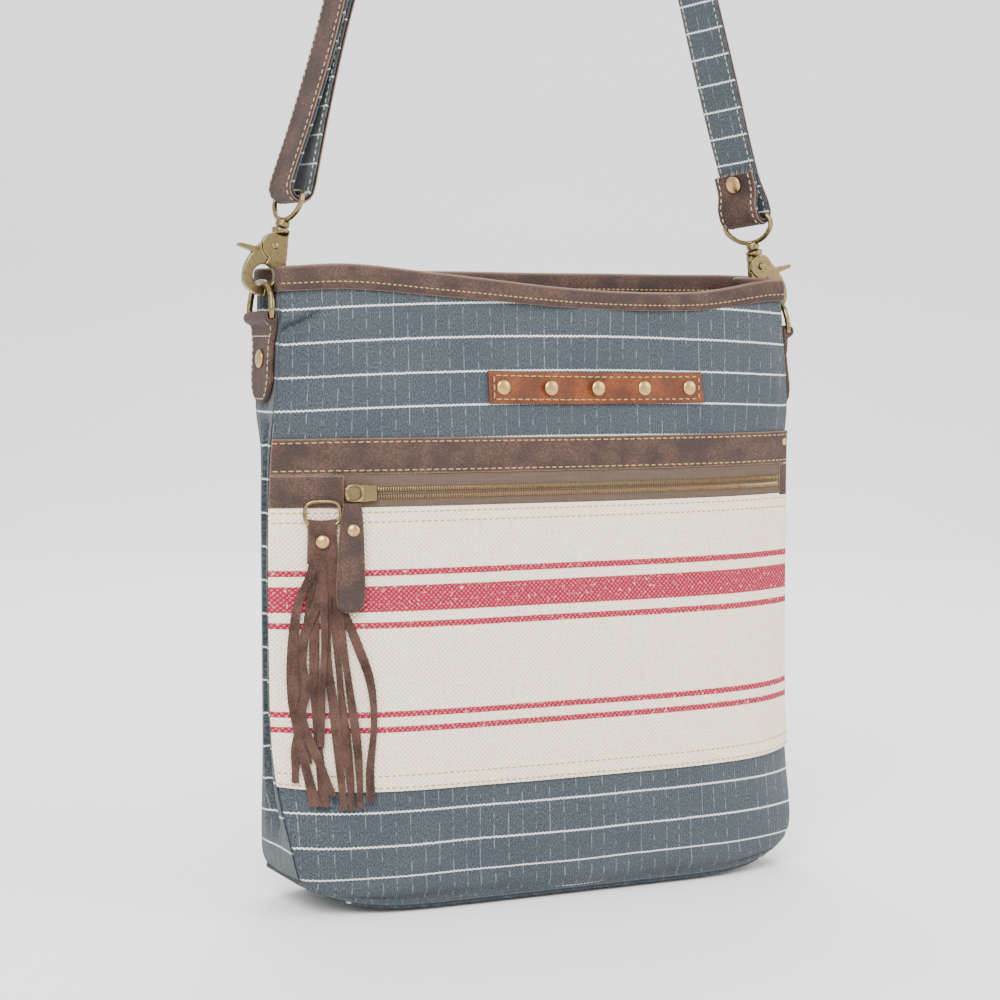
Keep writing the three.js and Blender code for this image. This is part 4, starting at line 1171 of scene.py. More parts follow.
@dataclass(frozen=True)
class DenimBody:
    """Denim walls of the bag.

    Attributes:
        columns: Cells across a wall.
        rows: Cells up a wall.
    """

    columns: int = 170
    rows: int = 190

    def walls(self) -> None:
        """Builds the front, the back and the gussets."""
        area = (-SEAM, SEAM, 1.9, SHAPE.height)
        for face, label in ((-1, "front"), (1, "back")):
            layer = Layer(f"denim_{label}", DENIM, -SHAPE.wall, 0.0, self.columns, self.rows)
            layer.build(f"{label}_panel", area, 60, face=face)
        for side in Side:
            v, t = np.meshgrid(np.linspace(-1, 1, 25), np.linspace(0.006, 1, 90))
            base = SHAPE.gusset_point(side.value, v, t)
            out = normals_of(base)
            # Nearness to a seam, which the denim darkens as painted shade.
            edge = np.exp(-(1 - np.abs(v)) * 6)
            ripple = 0.5 * np.sin(base[..., 2] / 9 + 2 * v) * (1 - v**2)
            outer = base + out * ripple[..., None]
            cloth = np.stack([base[..., 1] + 200, base[..., 2] + 3.2, edge], -1)
            piece = Piece(f"denim_gusset_{side.label}", DENIM)
            piece.slab(outer, outer - out * SHAPE.wall, cloth)
            piece.build(f"gusset_{side.label}", smooth=60)

    def base(self) -> None:
        """Builds the base, a little raised at its rim."""
        s, v = np.meshgrid(np.linspace(-1, 1, 90), np.linspace(-1, 1, 30))
        zero = np.zeros_like(s)
        half = SHAPE.half_depth(s, zero)
        points = np.stack([SHAPE.half_width(zero) * s, -v * half, SHAPE.lift(s, zero)], -1)
        rim = np.maximum(np.abs(v), np.abs(s)) ** 8
        points[..., 2] += 0.5 * rim
        # The raised rim is darkened by the denim as painted seam shade.
        cloth = np.stack([points[..., 0], points[..., 1] + 100, 0.8 * rim], -1)
        thick = np.array([0, 0, SHAPE.wall - 0.2])
        piece = Piece("denim_base", DENIM)
        piece.slab(points, points + thick, cloth)
        piece.build("base_panel", smooth=60)

    def seam_cord(self) -> None:
        """Builds the turned seam that runs round the lower edge."""
        piece = Piece("base_seam", DENIM)
        s = np.concatenate([np.linspace(-1, 1, 120), np.linspace(1, -1, 120)])
        face = np.concatenate([-np.ones(120), np.ones(120)])
        t = np.full_like(s, 0.012)
        centre = np.where(
            face[:, None] < 0, SHAPE.wall_point(-1, s, t), SHAPE.wall_point(1, s, t)
        )
        centre[:, 1] -= face * 0.9
        centre[:, 0] *= 0.997
        way = unit(np.roll(centre, -1, axis=0) - np.roll(centre, 1, axis=0))
        side = np.cross(way, UP)
        turn = round_angles(8)
        rings = np.array([
            [c + 1.5 * math.cos(a) * n + 1.7 * math.sin(a) * UP for a in turn]
            for c, n in zip(centre, side)
        ])
        run = np.cumsum(np.linalg.norm(way, axis=1)) * 2.3
        # An edge value of 0.75 darkens the cord in patches, as painted seam shade.
        cloth = np.stack(np.broadcast_arrays(run[:, None], 4 * turn[None] + 104, 0.75), -1)
        piece.tube(rings, closed=True, cloth=cloth)
        piece.build(smooth=80)


@dataclass(frozen=True)
class MouthBinding:
    """Brown leather folded over the mouth and sewn through.

    Attributes:
        gap: Gap to the cloth.
        thick: Thickness of the leather.
        soften: How often the loop's corners are smoothed.
        long: Points across the front or the back.
        short: Points across a gusset.
        sewn: Share of the binding's height at which it is sewn.
        ends: Points of the front that are left unsewn at each end.
    """

    gap: float = 0.4
    thick: float = 1.5
    soften: int = 5
    long: int = 101
    short: int = 29
    sewn: float = 0.33
    ends: int = 2

    def loop(self, t: float) -> Array:
        """Level loop round the mouth.

        Args:
            t: Share of the height.

        Returns:
            Points of the loop, from the front's left end all the way round.
        """
        s = np.sin(np.linspace(-0.5, 0.5, self.long) * math.pi)
        v = np.linspace(-0.97, 0.97, self.short)
        shares = np.full_like(s, t)
        inner = np.full_like(v, t)
        loop = np.concatenate([
            SHAPE.wall_point(-1, s, shares),
            SHAPE.gusset_point(1, v, inner),
            SHAPE.wall_point(1, s[::-1], shares),
            SHAPE.gusset_point(-1, v, inner),
        ])
        for _ in range(self.soften):
            loop = 0.5 * loop + 0.25 * (np.roll(loop, 1, axis=0) + np.roll(loop, -1, axis=0))
        return loop

    def frame_of(self, t: float) -> tuple[Array, Array]:
        """Loop at a share of the height with its outward normals."""
        loop = self.loop(t)
        way = np.roll(loop, -1, axis=0) - np.roll(loop, 1, axis=0)
        return loop, unit(np.stack([way[:, 1], -way[:, 0], np.zeros(len(loop))], -1))

    def build(self) -> None:
        """Builds the binding and its stitches."""
        low, out_low = self.frame_of(1 - SHAPE.rim_height / SHAPE.height)
        top, out_top = self.frame_of(1.0)
        near, far = self.gap, self.gap + self.thick
        back = -(SHAPE.wall + self.gap)
        deep = back - self.thick
        profile = [
            (near, 0, 0), (far - 0.5, 0, -0.2), (far, 0.08, 0), (far + 0.15, 0.5, 0),
            (far, 0.93, 0), (far - 0.6, 1, 1.0), ((far + deep) / 2, 1, 1.6), (deep + 0.6, 1, 1.0),
            (deep, 0.93, 0), (deep - 0.1, 0.5, 0), (deep, 0.08, 0), (deep + 0.5, 0, -0.2),
            (back, 0, 0), (back, 1, 0.2), (near, 1, 0.2),
        ]
        number = np.arange(len(low))
        wave = 0.25 * np.sin(number * 0.31) + 0.2 * np.sin(number * 0.13 + 1)
        rings = []
        for off, share, rise in profile:
            line = low * (1 - share) + top * share
            normal = out_low * (1 - share) + out_top * share
            line = line + normal * (off + wave * (1 if off > 0 else 0) * 0.5)[:, None]
            line[:, 2] += rise + 0.3 * wave
            rings.append(line)
        rings = np.transpose(np.array(rings), (1, 0, 2))
        worn = [share < 0.05 or rise > 0.5 for _, share, rise in profile]
        cloth = np.zeros_like(rings)
        cloth[..., 2] = np.where(worn, 0.9, 0.15)
        piece = Piece("mouth_binding", BROWN)
        piece.tube(rings, closed=True, cloth=cloth)
        piece.build("rim_binding", smooth=70)
        sewn = Piece("mouth_stitches", GOLD_THREAD)
        line = low * (1 - self.sewn) + top * self.sewn
        normal = out_low * (1 - self.sewn) + out_top * self.sewn
        for off, ripple, sign, seed in ((far + 0.05, 0.5, 1, 3), (deep - 0.05, 0.0, -1, 4)):
            path = line + normal * (off + ripple * wave)[:, None]
            path[:, 2] += 0.3 * wave
            for start in (0, self.long + self.short):
                part = slice(start + self.ends, start + self.long - self.ends)
                MOUTH_ROW.sew(sewn, path[part], sign * normal[part], seed)
        sewn.build()


@dataclass(frozen=True)
class FrontTrim:
    """Band, pocket, patch and zip on the bag's front.

    Attributes:
        band_low: Lower edge of the leather band.
        band_height: Height of the band.
        canvas_low: Lower edge of the canvas pocket.
        canvas_high: Its upper edge.
        patch_left: Left end of the tan patch.
        patch_width: Its length.
        patch_low: Its lower edge.
        patch_height: Its height.
        zip_centre: Height of the zip's middle line.
        zip_reach: Where the zip starts and ends across.
        row_offset: Distance of a row of teeth from the middle line.
        tooth_pitch: Distance from tooth to tooth.
    """

    band_low: float = 217.0
    band_height: float = 18.0
    canvas_low: float = 60.0
    canvas_high: float = 200.5
    patch_left: float = -37.95
    patch_width: float = 125.1
    patch_low: float = 252.0
    patch_height: float = 17.5
    zip_centre: float = 207.6
    zip_reach: Pair = (-116.0, 143.0)
    row_offset: float = 1.75
    tooth_pitch: float = 1.28

    def band(self) -> None:
        """Builds the leather band and its two sewn rows."""
        layer = Layer("front_band", BROWN, 0.35, 1.6, 150, 14)
        low, high = self.band_low, self.band_low + self.band_height
        layer.build("zip_band", (-SEAM, SEAM, low, high))
        inset = 1.9
        sewn = Piece("band_stitches", GOLD_THREAD)
        for z, seed in ((low + inset, 11), (high - inset, 12)):
            BAND_ROW.sew(sewn, *layer.seam_row(z), seed)
        sewn.build()
        place, out = layer.path(((146.2, high - 6.0), (146.4, high - 6.1)))
        Rivets().dome("band_end_rivet", place[0], out[0], radius=2.1, height=1.0)

    def canvas(self) -> None:
        """Builds the canvas pocket and its sewn rows."""
        layer = Layer("canvas_pocket", CANVAS, 0.3, 1.5, 150, 90)
        low, high = self.canvas_low, self.canvas_high
        layer.build("canvas_panel", (-SEAM, SEAM, low, high), 60)
        sewn = Piece("canvas_stitches", GOLD_THREAD)
        for seed, z in enumerate((high - 2.5, high - 7.3, low + 7.7, low + 1.8), 20):
            CANVAS_ROW.sew(sewn, *layer.seam_row(z), seed)
        sewn.build()

    def patch(self) -> None:
        """Builds the tan patch of two overlapping strips with its sewn border."""
        joint = self.patch_left + self.patch_width * 0.53
        right = self.patch_left + self.patch_width
        low, high = self.patch_low, self.patch_low + self.patch_height
        under = Layer("tan_patch_leather", TAN, 0.35, 1.9, 60, 14)
        piece = Piece(under.name, TAN)
        under.lay(piece, (self.patch_left, joint + 1.0, low, high))
        over = Layer("tan_overlap", TAN, 0.35, 2.5, 60, 14)
        over.lay(piece, (joint - 0.2, right, low + 0.15, high + 0.1))
        piece.build("tan_patch")
        sewn = Piece("patch_stitches", GOLD_THREAD)
        inset = 2.5
        corners = (
            (self.patch_left + inset, low + inset), (right - inset, low + inset),
            (right - inset, high - inset), (self.patch_left + inset, high - inset),
            (self.patch_left + inset, low + inset),
        )
        top = Layer("patch_face", TAN, 0.3, 2.25, 4, 4)
        for number in range(4):
            PATCH_ROW.sew(sewn, *top.path(corners[number:number + 2]), 30 + number)
        sewn.build()

    def zip_ends(self) -> None:
        """Builds the leather ends of the zip; the left one curls up at its free end."""
        low, high = self.canvas_high - 0.1, self.band_low - 0.4

        def curl(x: Array, z: Array) -> Array:
            """Lifts the free end."""
            return 2.6 * step(x, -128, -114) * (0.6 + 0.4 * step(z, 200, 216))

        left = Layer("zip_end_leather_left", BROWN, 0.35, 1.6, 40, 14)
        left.build("zip_end_left", (-SEAM, self.zip_reach[0] + 0.5, low, high), curl=curl)
        right = Layer("zip_end_leather_right", BROWN, 0.35, 1.6, 10, 16)
        right.build("zip_end_right", (self.zip_reach[1] - 0.2, SEAM, low - 1.5, high))

    def zip_cloth(self) -> None:
        """Builds the zip's tape."""
        layer = Layer("zip_cloth", TAPE, 0.3, 1.0, 130, 6)
        layer.build("zip_tape", (*self.zip_reach, self.canvas_high + 0.2, self.band_low - 0.2))

    def coil(self) -> None:
        """Builds the two rows of the zip's coil."""
        layer = Layer("coil_line", COIL_BRASS, 1.0, 1.45, 4, 4)
        coil = Piece("zip_coil", COIL_BRASS)
        start, end = self.zip_reach
        for sign in (-1, 1):
            z = self.zip_centre + sign * self.row_offset
            path, out = layer.path(((start + 1, z), (end - 1, z)))
            up = np.cross(out, unit(np.gradient(path, axis=0)))
            run = run_of(path)
            for at in np.arange(0.5, run[-1] - 0.5, self.tooth_pitch):
                here, rise, lift = (at_run(at, run, rows) for rows in (path, up, out))
                line = np.array([here + rise * sign * d for d in (-1.3, 0.0, 1.5)])
                ZIP_TOOTH.sew(coil, line, np.array([lift] * 3), int(at))
        coil.build("zip_teeth")

    def build(self) -> None:
        """Builds all of the front's trim."""
        self.band()
        self.canvas()
        self.patch()
        self.zip_ends()
        self.zip_cloth()
        self.coil()


@dataclass(frozen=True)
class Rivets:
    """Domed rivets placed on the CAD's rivets.

    Attributes:
        sides: Points round a dome.
    """

    sides: int = 28

    def dome(
        self, name: str, place: Array, out: Array, radius: float, height: float,
        *stands_for: str, world: bool = False,
    ) -> None:
        """Builds one dome with a rolled rim.

        Args:
            name: Object name.
            place: Middle of its base.
            out: Its outward direction.
            radius: Its radius.
            height: Its height.
            *stands_for: CAD nodes that it replaces.
            world: Whether the place is in the frame already.
        """
        out = np.asarray(out, float) / np.linalg.norm(out)
        one = np.cross(out, (0.3, 0.2, 0.93))
        one /= np.linalg.norm(one)
        two = np.cross(out, one)
        profile = ((0.93, 0.0), (1.0, 0.12), (1.0, 0.3), (0.95, 0.45), (0.8, 0.68), (0.55, 0.88),
                   (0.28, 0.98), (0.05, 1.0))
        turn = round_angles(self.sides)
        rings = np.array([
            [place + radius * r * (math.cos(a) * one + math.sin(a) * two) + out * height * h
             for a in turn]
            for r, h in profile
        ])
        piece = Piece(name, RIVET_BRASS)
        piece.tube(rings)
        piece.build(*stands_for, world=world, smooth=50)

    def on(self, node: str, outward: Place) -> None:
        """Stands a dome on a CAD rivet.

        Args:
            node: CAD node of the rivet.
            outward: Rough outward direction.
        """
        points = node_points(node)
        middle = points.mean(axis=0)
        _, _, axes = np.linalg.svd(points - middle)
        out = axes[2] * (1 if axes[2] @ np.asarray(outward) > 0 else -1)
        reach = (points - middle) @ out
        flat = (points - middle) - reach[:, None] * out
        radius = np.linalg.norm(flat, axis=1).max()
        base = middle + out * reach.min()
        self.dome(f"{node}_dome", base, out, radius, reach.max() - reach.min(), node, world=True)

    def build(self) -> None:
        """Builds every rivet of the record."""
        front = (0.0, -1.0, 0.0)
        for number in range(1, 6):
            self.on(f"patch_rivet_{number}", front)
        for side in Side:
            self.on(f"tab_rivet_{side.label}", (side.value, 0.0, 0.0))
        for node in ("strap_rivet", "zip_pull_rivet", "tassel_rivet"):
            self.on(node, front)


def vertex_values(mesh: bpy.types.Mesh, name: str) -> Array:
    """Places or normals of a mesh's points, one row each.

    Args:
        mesh: The mesh.
        name: Property to read, co or normal.

    Returns:
        The values.
    """
    flat = np.empty(len(mesh.vertices) * 3, np.float32)
    mesh.vertices.foreach_get(name, flat)
    return flat.reshape(-1, 3).astype(float)


def node_points(node: str) -> Array:
    """Points of a CAD node in the frame, in mm."""
    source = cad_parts[node]
    matrix = np.array(source.matrix_world)
    return (vertex_values(source.data, "co") @ matrix[:3, :3].T + matrix[:3, 3]) / MM


@dataclass(frozen=True)
class Softened:
    """A CAD solid copied, rebuilt as a fine skin and smoothed.

    Attributes:
        node: CAD node that is copied and replaced.
        finish: Its finish.
        body: Body that it rides on.
        voxel: Size of the skin's cells in mm.
        rounds: How often it is smoothed.
    """

    node: str
    finish: Finish
    body: str = ROOT_BODY
    voxel: float = 0.35
    rounds: int = 8

    def build(self) -> bpy.types.Object:
        """Builds the fine copy."""
        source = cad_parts[self.node]
        mesh = source.data.copy()
        mesh.transform(source.matrix_world)
        mesh.materials.clear()
        copy = bpy.data.objects.new(f"{self.node}_fine", mesh)
        bpy.context.scene.collection.objects.link(copy)
        remesh = copy.modifiers.new("skin", "REMESH")
        remesh.mode = "VOXEL"
        remesh.voxel_size = self.voxel * MM
        remesh.use_smooth_shade = True
        smooth = copy.modifiers.new("smooth", "SMOOTH")
        smooth.factor = 0.5
        smooth.iterations = self.rounds
        graph = bpy.context.evaluated_depsgraph_get()
        fine = bpy.data.meshes.new_from_object(copy.evaluated_get(graph))
        copy.modifiers.clear()
        copy.data = fine
        fine.materials.clear()
        fine.materials.append(self.finish.material())
        fine.polygons.foreach_set("use_smooth", [True] * len(fine.polygons))
        data = fine.attributes.new("cloth", "FLOAT_VECTOR", "POINT")
        data.data.foreach_set("vector", np.zeros(len(fine.vertices) * 3, np.float32))
        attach(copy, self.body)
        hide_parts(self.node)
        LOG.info("%s: %d faces", copy.name, len(fine.polygons))
        return copy


class Hardware:
    """Rings, hooks, slides and the zip's metal."""

    def build(self) -> None:
        """Builds fine copies of all metal parts."""
        parts = []
        for label in (side.label for side in Side):
            parts += [
                (f"d_ring_{label}", ROOT_BODY, 0.35, 6),
                (f"swivel_eye_{label}", ROOT_BODY, 0.3, 5),
                (f"hook_body_{label}", f"hook_{label}", 0.35, 5),
                (f"hook_trigger_{label}", f"trigger_{label}", 0.3, 4),
            ]
        parts += [
            ("strap_slide", ROOT_BODY, 0.4, 5),
            ("zip_slider", ROOT_BODY, 0.25, 4),
            ("zip_bail", ROOT_BODY, 0.2, 4),
        ]
        for node, body, voxel, rounds in parts:
            Softened(node, AGED_BRASS, body, voxel, rounds).build()


def on_front(x: Array, z: Array, off: Array | float) -> tuple[Array, Array]:
    """Places in front of the bag.

    Args:
        x: Places across.
        z: Heights.
        off: Distance from the cloth's face.

    Returns:
        Points and their outward normals.
    """
    s = np.clip(SHAPE.across(x, z), -1, 1)
    t = np.asarray(z, float) / SHAPE.height
    out = SHAPE.face_normal(-1, s, t, 0.004)
    lift = SHAPE.relief(-1, x, z) + off
    return SHAPE.wall_point(-1, s, t) + out * np.asarray(lift)[..., None], out


def curve_through(rows: Sequence[Sequence[float]], count: int) -> Array:
    """Evenly spaced points on a smooth curve through rows of numbers.

    Args:
        rows: Points that the curve passes.
        count: Number of points wanted.

    Returns:
        The points.
    """
    p = np.asarray(rows, float)
    p = np.concatenate([p[:1] * 2 - p[1:2], p, p[-1:] * 2 - p[-2:-1]])
    f = np.linspace(0, 1, 25)[:-1, None]
    parts = []
    for i in range(1, len(p) - 2):
        a, b, c, d = p[i - 1:i + 3]
        parts.append(0.5 * (2 * b + (c - a) * f + (2 * a - 5 * b + 4 * c - d) * f**2
                            + (3 * b - a - 3 * c + d) * f**3))
    line = np.concatenate([*parts, p[-2:-1]])
    run = run_of(line)
    return at_run(np.linspace(0, run[-1], count), run, line)


@dataclass(frozen=True)
class Strand:
    """One strip of the tassel.

    Attributes:
        rows: Its middle line as places across and heights.
        width: Its width.
        layer: How far out it lies, 0 or more.
        turn: How much it twists about its own line.
    """

    rows: tuple[Pair, ...]
    width: float
    layer: float
    turn: float = 0.2


STRANDS = (
    Strand(((-129.2, 176.0), (-132.2, 166.0), (-138.1, 148.7), (-140.1, 111.0), (-137.3, 82.5),
            (-132.8, 52.0)), 6.4, 0.9),
    Strand(((-137.1, 100.0), (-139.3, 84.0), (-140.4, 63.2)), 5.0, 0.2),
    Strand(((-126.8, 176.0), (-127.6, 158.3), (-135.6, 133.9), (-134.4, 111.0), (-136.5, 96.3),
            (-129.1, 71.3), (-125.0, 57.6)), 5.6, 1.1, -0.3),
    Strand(((-127.6, 177.0), (-130.3, 145.1), (-131.1, 105.4), (-129.9, 71.3), (-129.1, 52.0)),
           6.0, 0.0),
    Strand(((-126.2, 176.0), (-126.2, 135.8), (-128.3, 105.4), (-129.1, 82.5)), 5.0, 1.4, 0.5),
    Strand(((-124.4, 176.0), (-125.0, 127.8), (-122.5, 93.7), (-120.9, 51.0)), 6.2, 0.5),
    Strand(((-122.4, 176.0), (-120.1, 116.6), (-118.0, 82.5), (-117.2, 51.0)), 5.6, 0.0, 0.4),
    Strand(((-121.7, 176.0), (-116.4, 116.6), (-113.5, 82.5), (-113.5, 52.0)), 5.6, 0.8),
    Strand(((-121.6, 175.0), (-117.1, 150.1), (-111.8, 133.9), (-106.2, 114.6), (-105.4, 93.7),
            (-108.2, 71.3), (-108.6, 55.6)), 6.0, 0.4, -0.3),
    Strand(((-128.8, 176.0), (-134.3, 140.0), (-137.1, 105.0), (-134.7, 74.0)), 5.0, 0.0),
)


@dataclass(frozen=True)
class Tassel:
    """Suede tassel with a riveted head.

    Attributes:
        middle: Its place across.
        top: Height of the head's top.
        width: Width of the head.
        height: Height of the head.
        thick: Thickness of the head.
        off: Gap between the cloth's face and its back.
        strip: Thickness of a strip.
    """

    middle: float = -126.0
    top: float = 195.0
    width: float = 14.0
    height: float = 22.0
    thick: float = 4.2
    off: float = 2.0
    strip: float = 1.15

    def strand(self, piece: Piece, row: Strand, seed: int) -> None:
        """Adds one strip.

        Args:
            piece: Piece that it goes to.
            row: The strip.
            seed: Seed of its unevenness.
        """
        rng = random.Random(seed)
        line = curve_through(row.rows, 46)
        way = unit(np.gradient(line, axis=0))
        side = np.stack([-way[:, 1], way[:, 0]], -1)
        share = np.linspace(0, 1, len(line))
        phase = rng.uniform(0, 6)
        half = row.width / 2 * (0.68 + 0.1 * np.sin(share * 11 + phase) - 0.08 * share)
        u = np.linspace(-1, 1, 7)
        place = line[:, None] + side[:, None] * (half[:, None] * u[None])[..., None]
        twist = row.turn * np.sin(share * 5 + phase)
        curl = 0.5 * (u[None] ** 2) + twist[:, None] * u[None] * 1.2
        lift = self.off + row.layer * self.strip + 0.3 + np.maximum(0, curl)
        lift = lift + 0.4 * np.sin(share * 7 + phase)[:, None] ** 2
        edge = np.abs(u)[None] ** 6 * np.ones_like(place[..., 0])
        outer, _ = on_front(place[..., 0], place[..., 1], lift + self.strip * (1 - 0.45 * edge))
        inner, _ = on_front(place[..., 0], place[..., 1], lift)
        piece.slab(outer, inner, np.stack([place[..., 0], place[..., 1], edge], -1))

    def build(self) -> None:
        """Builds the head and its strips."""
        piece = Piece("suede_tassel", SUEDE)
        for number, row in enumerate(STRANDS):
            self.strand(piece, row, 50 + number)
        u, t = np.meshgrid(np.linspace(-1, 1, 15), np.linspace(0, 1, 26))
        waist = 0.5 * self.width * (0.93 + 0.09 * t + 0.05 * bell(t, 0.0, 0.2))
        x = self.middle + waist * u
        z = self.top - self.height * t - 0.5 * np.cos(u * 2)
        edge = np.maximum(np.abs(u), np.abs(2 * t - 1)) ** 7
        groove = 1.1 * bell(t, 0.43, 0.05)
        face = self.off + self.thick * (1 - 0.35 * edge) - groove * 0.8
        outer, _ = on_front(x, z, face + 0.3 * np.sin(u * 3 + t * 4))
        inner, _ = on_front(x, z, np.full_like(x, self.off))
        piece.slab(outer, inner, np.stack([x, z, 0.8 * edge], -1))
        piece.build("tassel", smooth=60)


@dataclass(frozen=True)
class TasselRing:
    """Wire ring that carries the tassel.

    Attributes:
        middle: Its place across and its height.
        half_width: Half its width.
        half_height: Half its height.
        power: How square it is; 1 is an ellipse.
        wire: Radius of its wire.
        off: Distance of its wire from the cloth's face.
    """

    middle: Pair = (-125.6, 197.9)
    half_width: float = 8.2
    half_height: float = 6.0
    power: float = 0.62
    wire: float = 0.95
    off: float = 4.4

    def build(self) -> None:
        """Builds the ring."""

        def squared(wave: Array, half: float) -> Array:
            """Wave of an ellipse drawn out towards its corners."""
            return half * np.sign(wave) * np.abs(wave) ** self.power

        turn = round_angles(96)
        x = self.middle[0] + squared(np.cos(turn), self.half_width)
        z = self.middle[1] + squared(np.sin(turn), self.half_height)
        line, out = on_front(x, z, np.full_like(x, self.off))
        way = unit(np.roll(line, -1, axis=0) - np.roll(line, 1, axis=0))
        side = np.cross(way, out)
        angle = round_angles(12)
        rings = line[:, None] + self.wire * (np.cos(angle)[None, :, None] * side[:, None]
                                             + np.sin(angle)[None, :, None] * out[:, None])
        piece = Piece("tassel_wire_ring", AGED_BRASS)
        piece.tube(rings, closed=True)
        piece.build("tassel_ring", smooth=80)


@dataclass(frozen=True)
class ZipPull:
    """Leather tab that hangs from the zip's slider.

    Attributes:
        middle: Its place across.
        top: Height of its upper end.
        length: Its length.
        width: Its widest place.
        thick: Its thickness.
        off: Gap between the cloth's face and its back.
        lean: How far its lower end stands to the left.
        outline: Shares down the tab with its width there, as a share of the widest.
    """

    middle: float = -112.0
    top: float = 202.6
    length: float = 54.0
    width: float = 13.5
    thick: float = 2.7
    off: float = 4.9
    lean: float = 2.2
    outline: tuple[Pair, ...] = (
        (0, 0.6), (0.12, 0.74), (0.3, 0.86), (0.7, 0.98), (0.86, 1.0), (0.94, 0.88), (0.985, 0.62),
        (1, 0.36),
    )

    def build(self) -> None:
        """Builds the tab."""
        u, t = np.meshgrid(np.linspace(-1, 1, 17), np.linspace(0, 1, 60))
        wide = np.interp(t, *np.array(self.outline).T) * self.width / 2
        x = self.middle + wide * u - self.lean * t
        z = self.top - self.length * t
        edge = np.maximum(np.abs(u) ** 8, step(t, 0.97, 1.0))
        pillow = 0.5 * (1 - u**2)
        outer, _ = on_front(x, z, self.off + self.thick * (1 - 0.35 * edge) + pillow)
        inner, _ = on_front(x, z, np.full_like(x, self.off))
        piece = Piece("zip_pull_leather", BROWN)
        piece.slab(outer, inner, np.stack([x, z, 0.9 * edge], -1))
        piece.build("zip_pull", smooth=60)


@dataclass(frozen=True)
class HookLine:
    """Line on which a hook and its end of the strap hang.

    Attributes:
        side: -1 left, 1 right.
        seat: Where the swivel turns, in the frame.
        twist: Turn of the strap about the line in degrees.
        tilt: Lean of the line in degrees.
        reach: Distance from the swivel to the strap's bar.
        hold: Height up to which the whole turn holds.
        end: Height at which it has faded.
    """

    side: int
    seat: Place
    twist: float
    tilt: float = 15.5
    reach: float = 20.1
    hold: float = 160.0
    end: float = 400.0

    @property
    def up(self) -> Array:
        """Direction up the line."""
        lean = math.radians(self.tilt)
        return np.array([-self.side * math.sin(lean), 0.0, math.cos(lean)])

    @property
    def out(self) -> Array:
        """Direction away from the other strap end."""
        up = self.up
        return np.array([self.side * up[2], 0.0, -self.side * up[0]])

    @property
    def bar(self) -> Array:
        """Middle of the bar that the strap hangs on."""
        return np.array(self.seat) + self.reach * self.up

    def point(self, rows: Array) -> Array:
        """Points at heights above the bar and distances out of the line."""
        return self.bar + rows[:, :1] * self.up + rows[:, 1:2] * self.out

    def turned(self, points: Array, height: Array, vector: bool = False) -> Array:
        """Turns points or directions with the strap's twist.

        Args:
            points: Points, rows first.
            height: Height of each row above the bar.
            vector: Whether they are directions.

        Returns:
            The turned points.
        """
        share = np.clip((self.end - height) / (self.end - self.hold), 0, 1)
        angle = (math.radians(self.twist) * share).reshape(-1, *([1] * (points.ndim - 1)))
        base = 0 if vector else self.bar
        v = points - base
        axis = self.up
        along_axis = (v @ axis)[..., None] * axis
        spun = v * np.cos(angle) + np.cross(axis, v) * np.sin(angle)
        return base + spun + along_axis * (1 - np.cos(angle))


LEFT_LINE = HookLine(-1, (-136.21, 0.0, -430.84), 5.0)
RIGHT_LINE = HookLine(1, (137.92, 0.0, -437.0), 22.0)


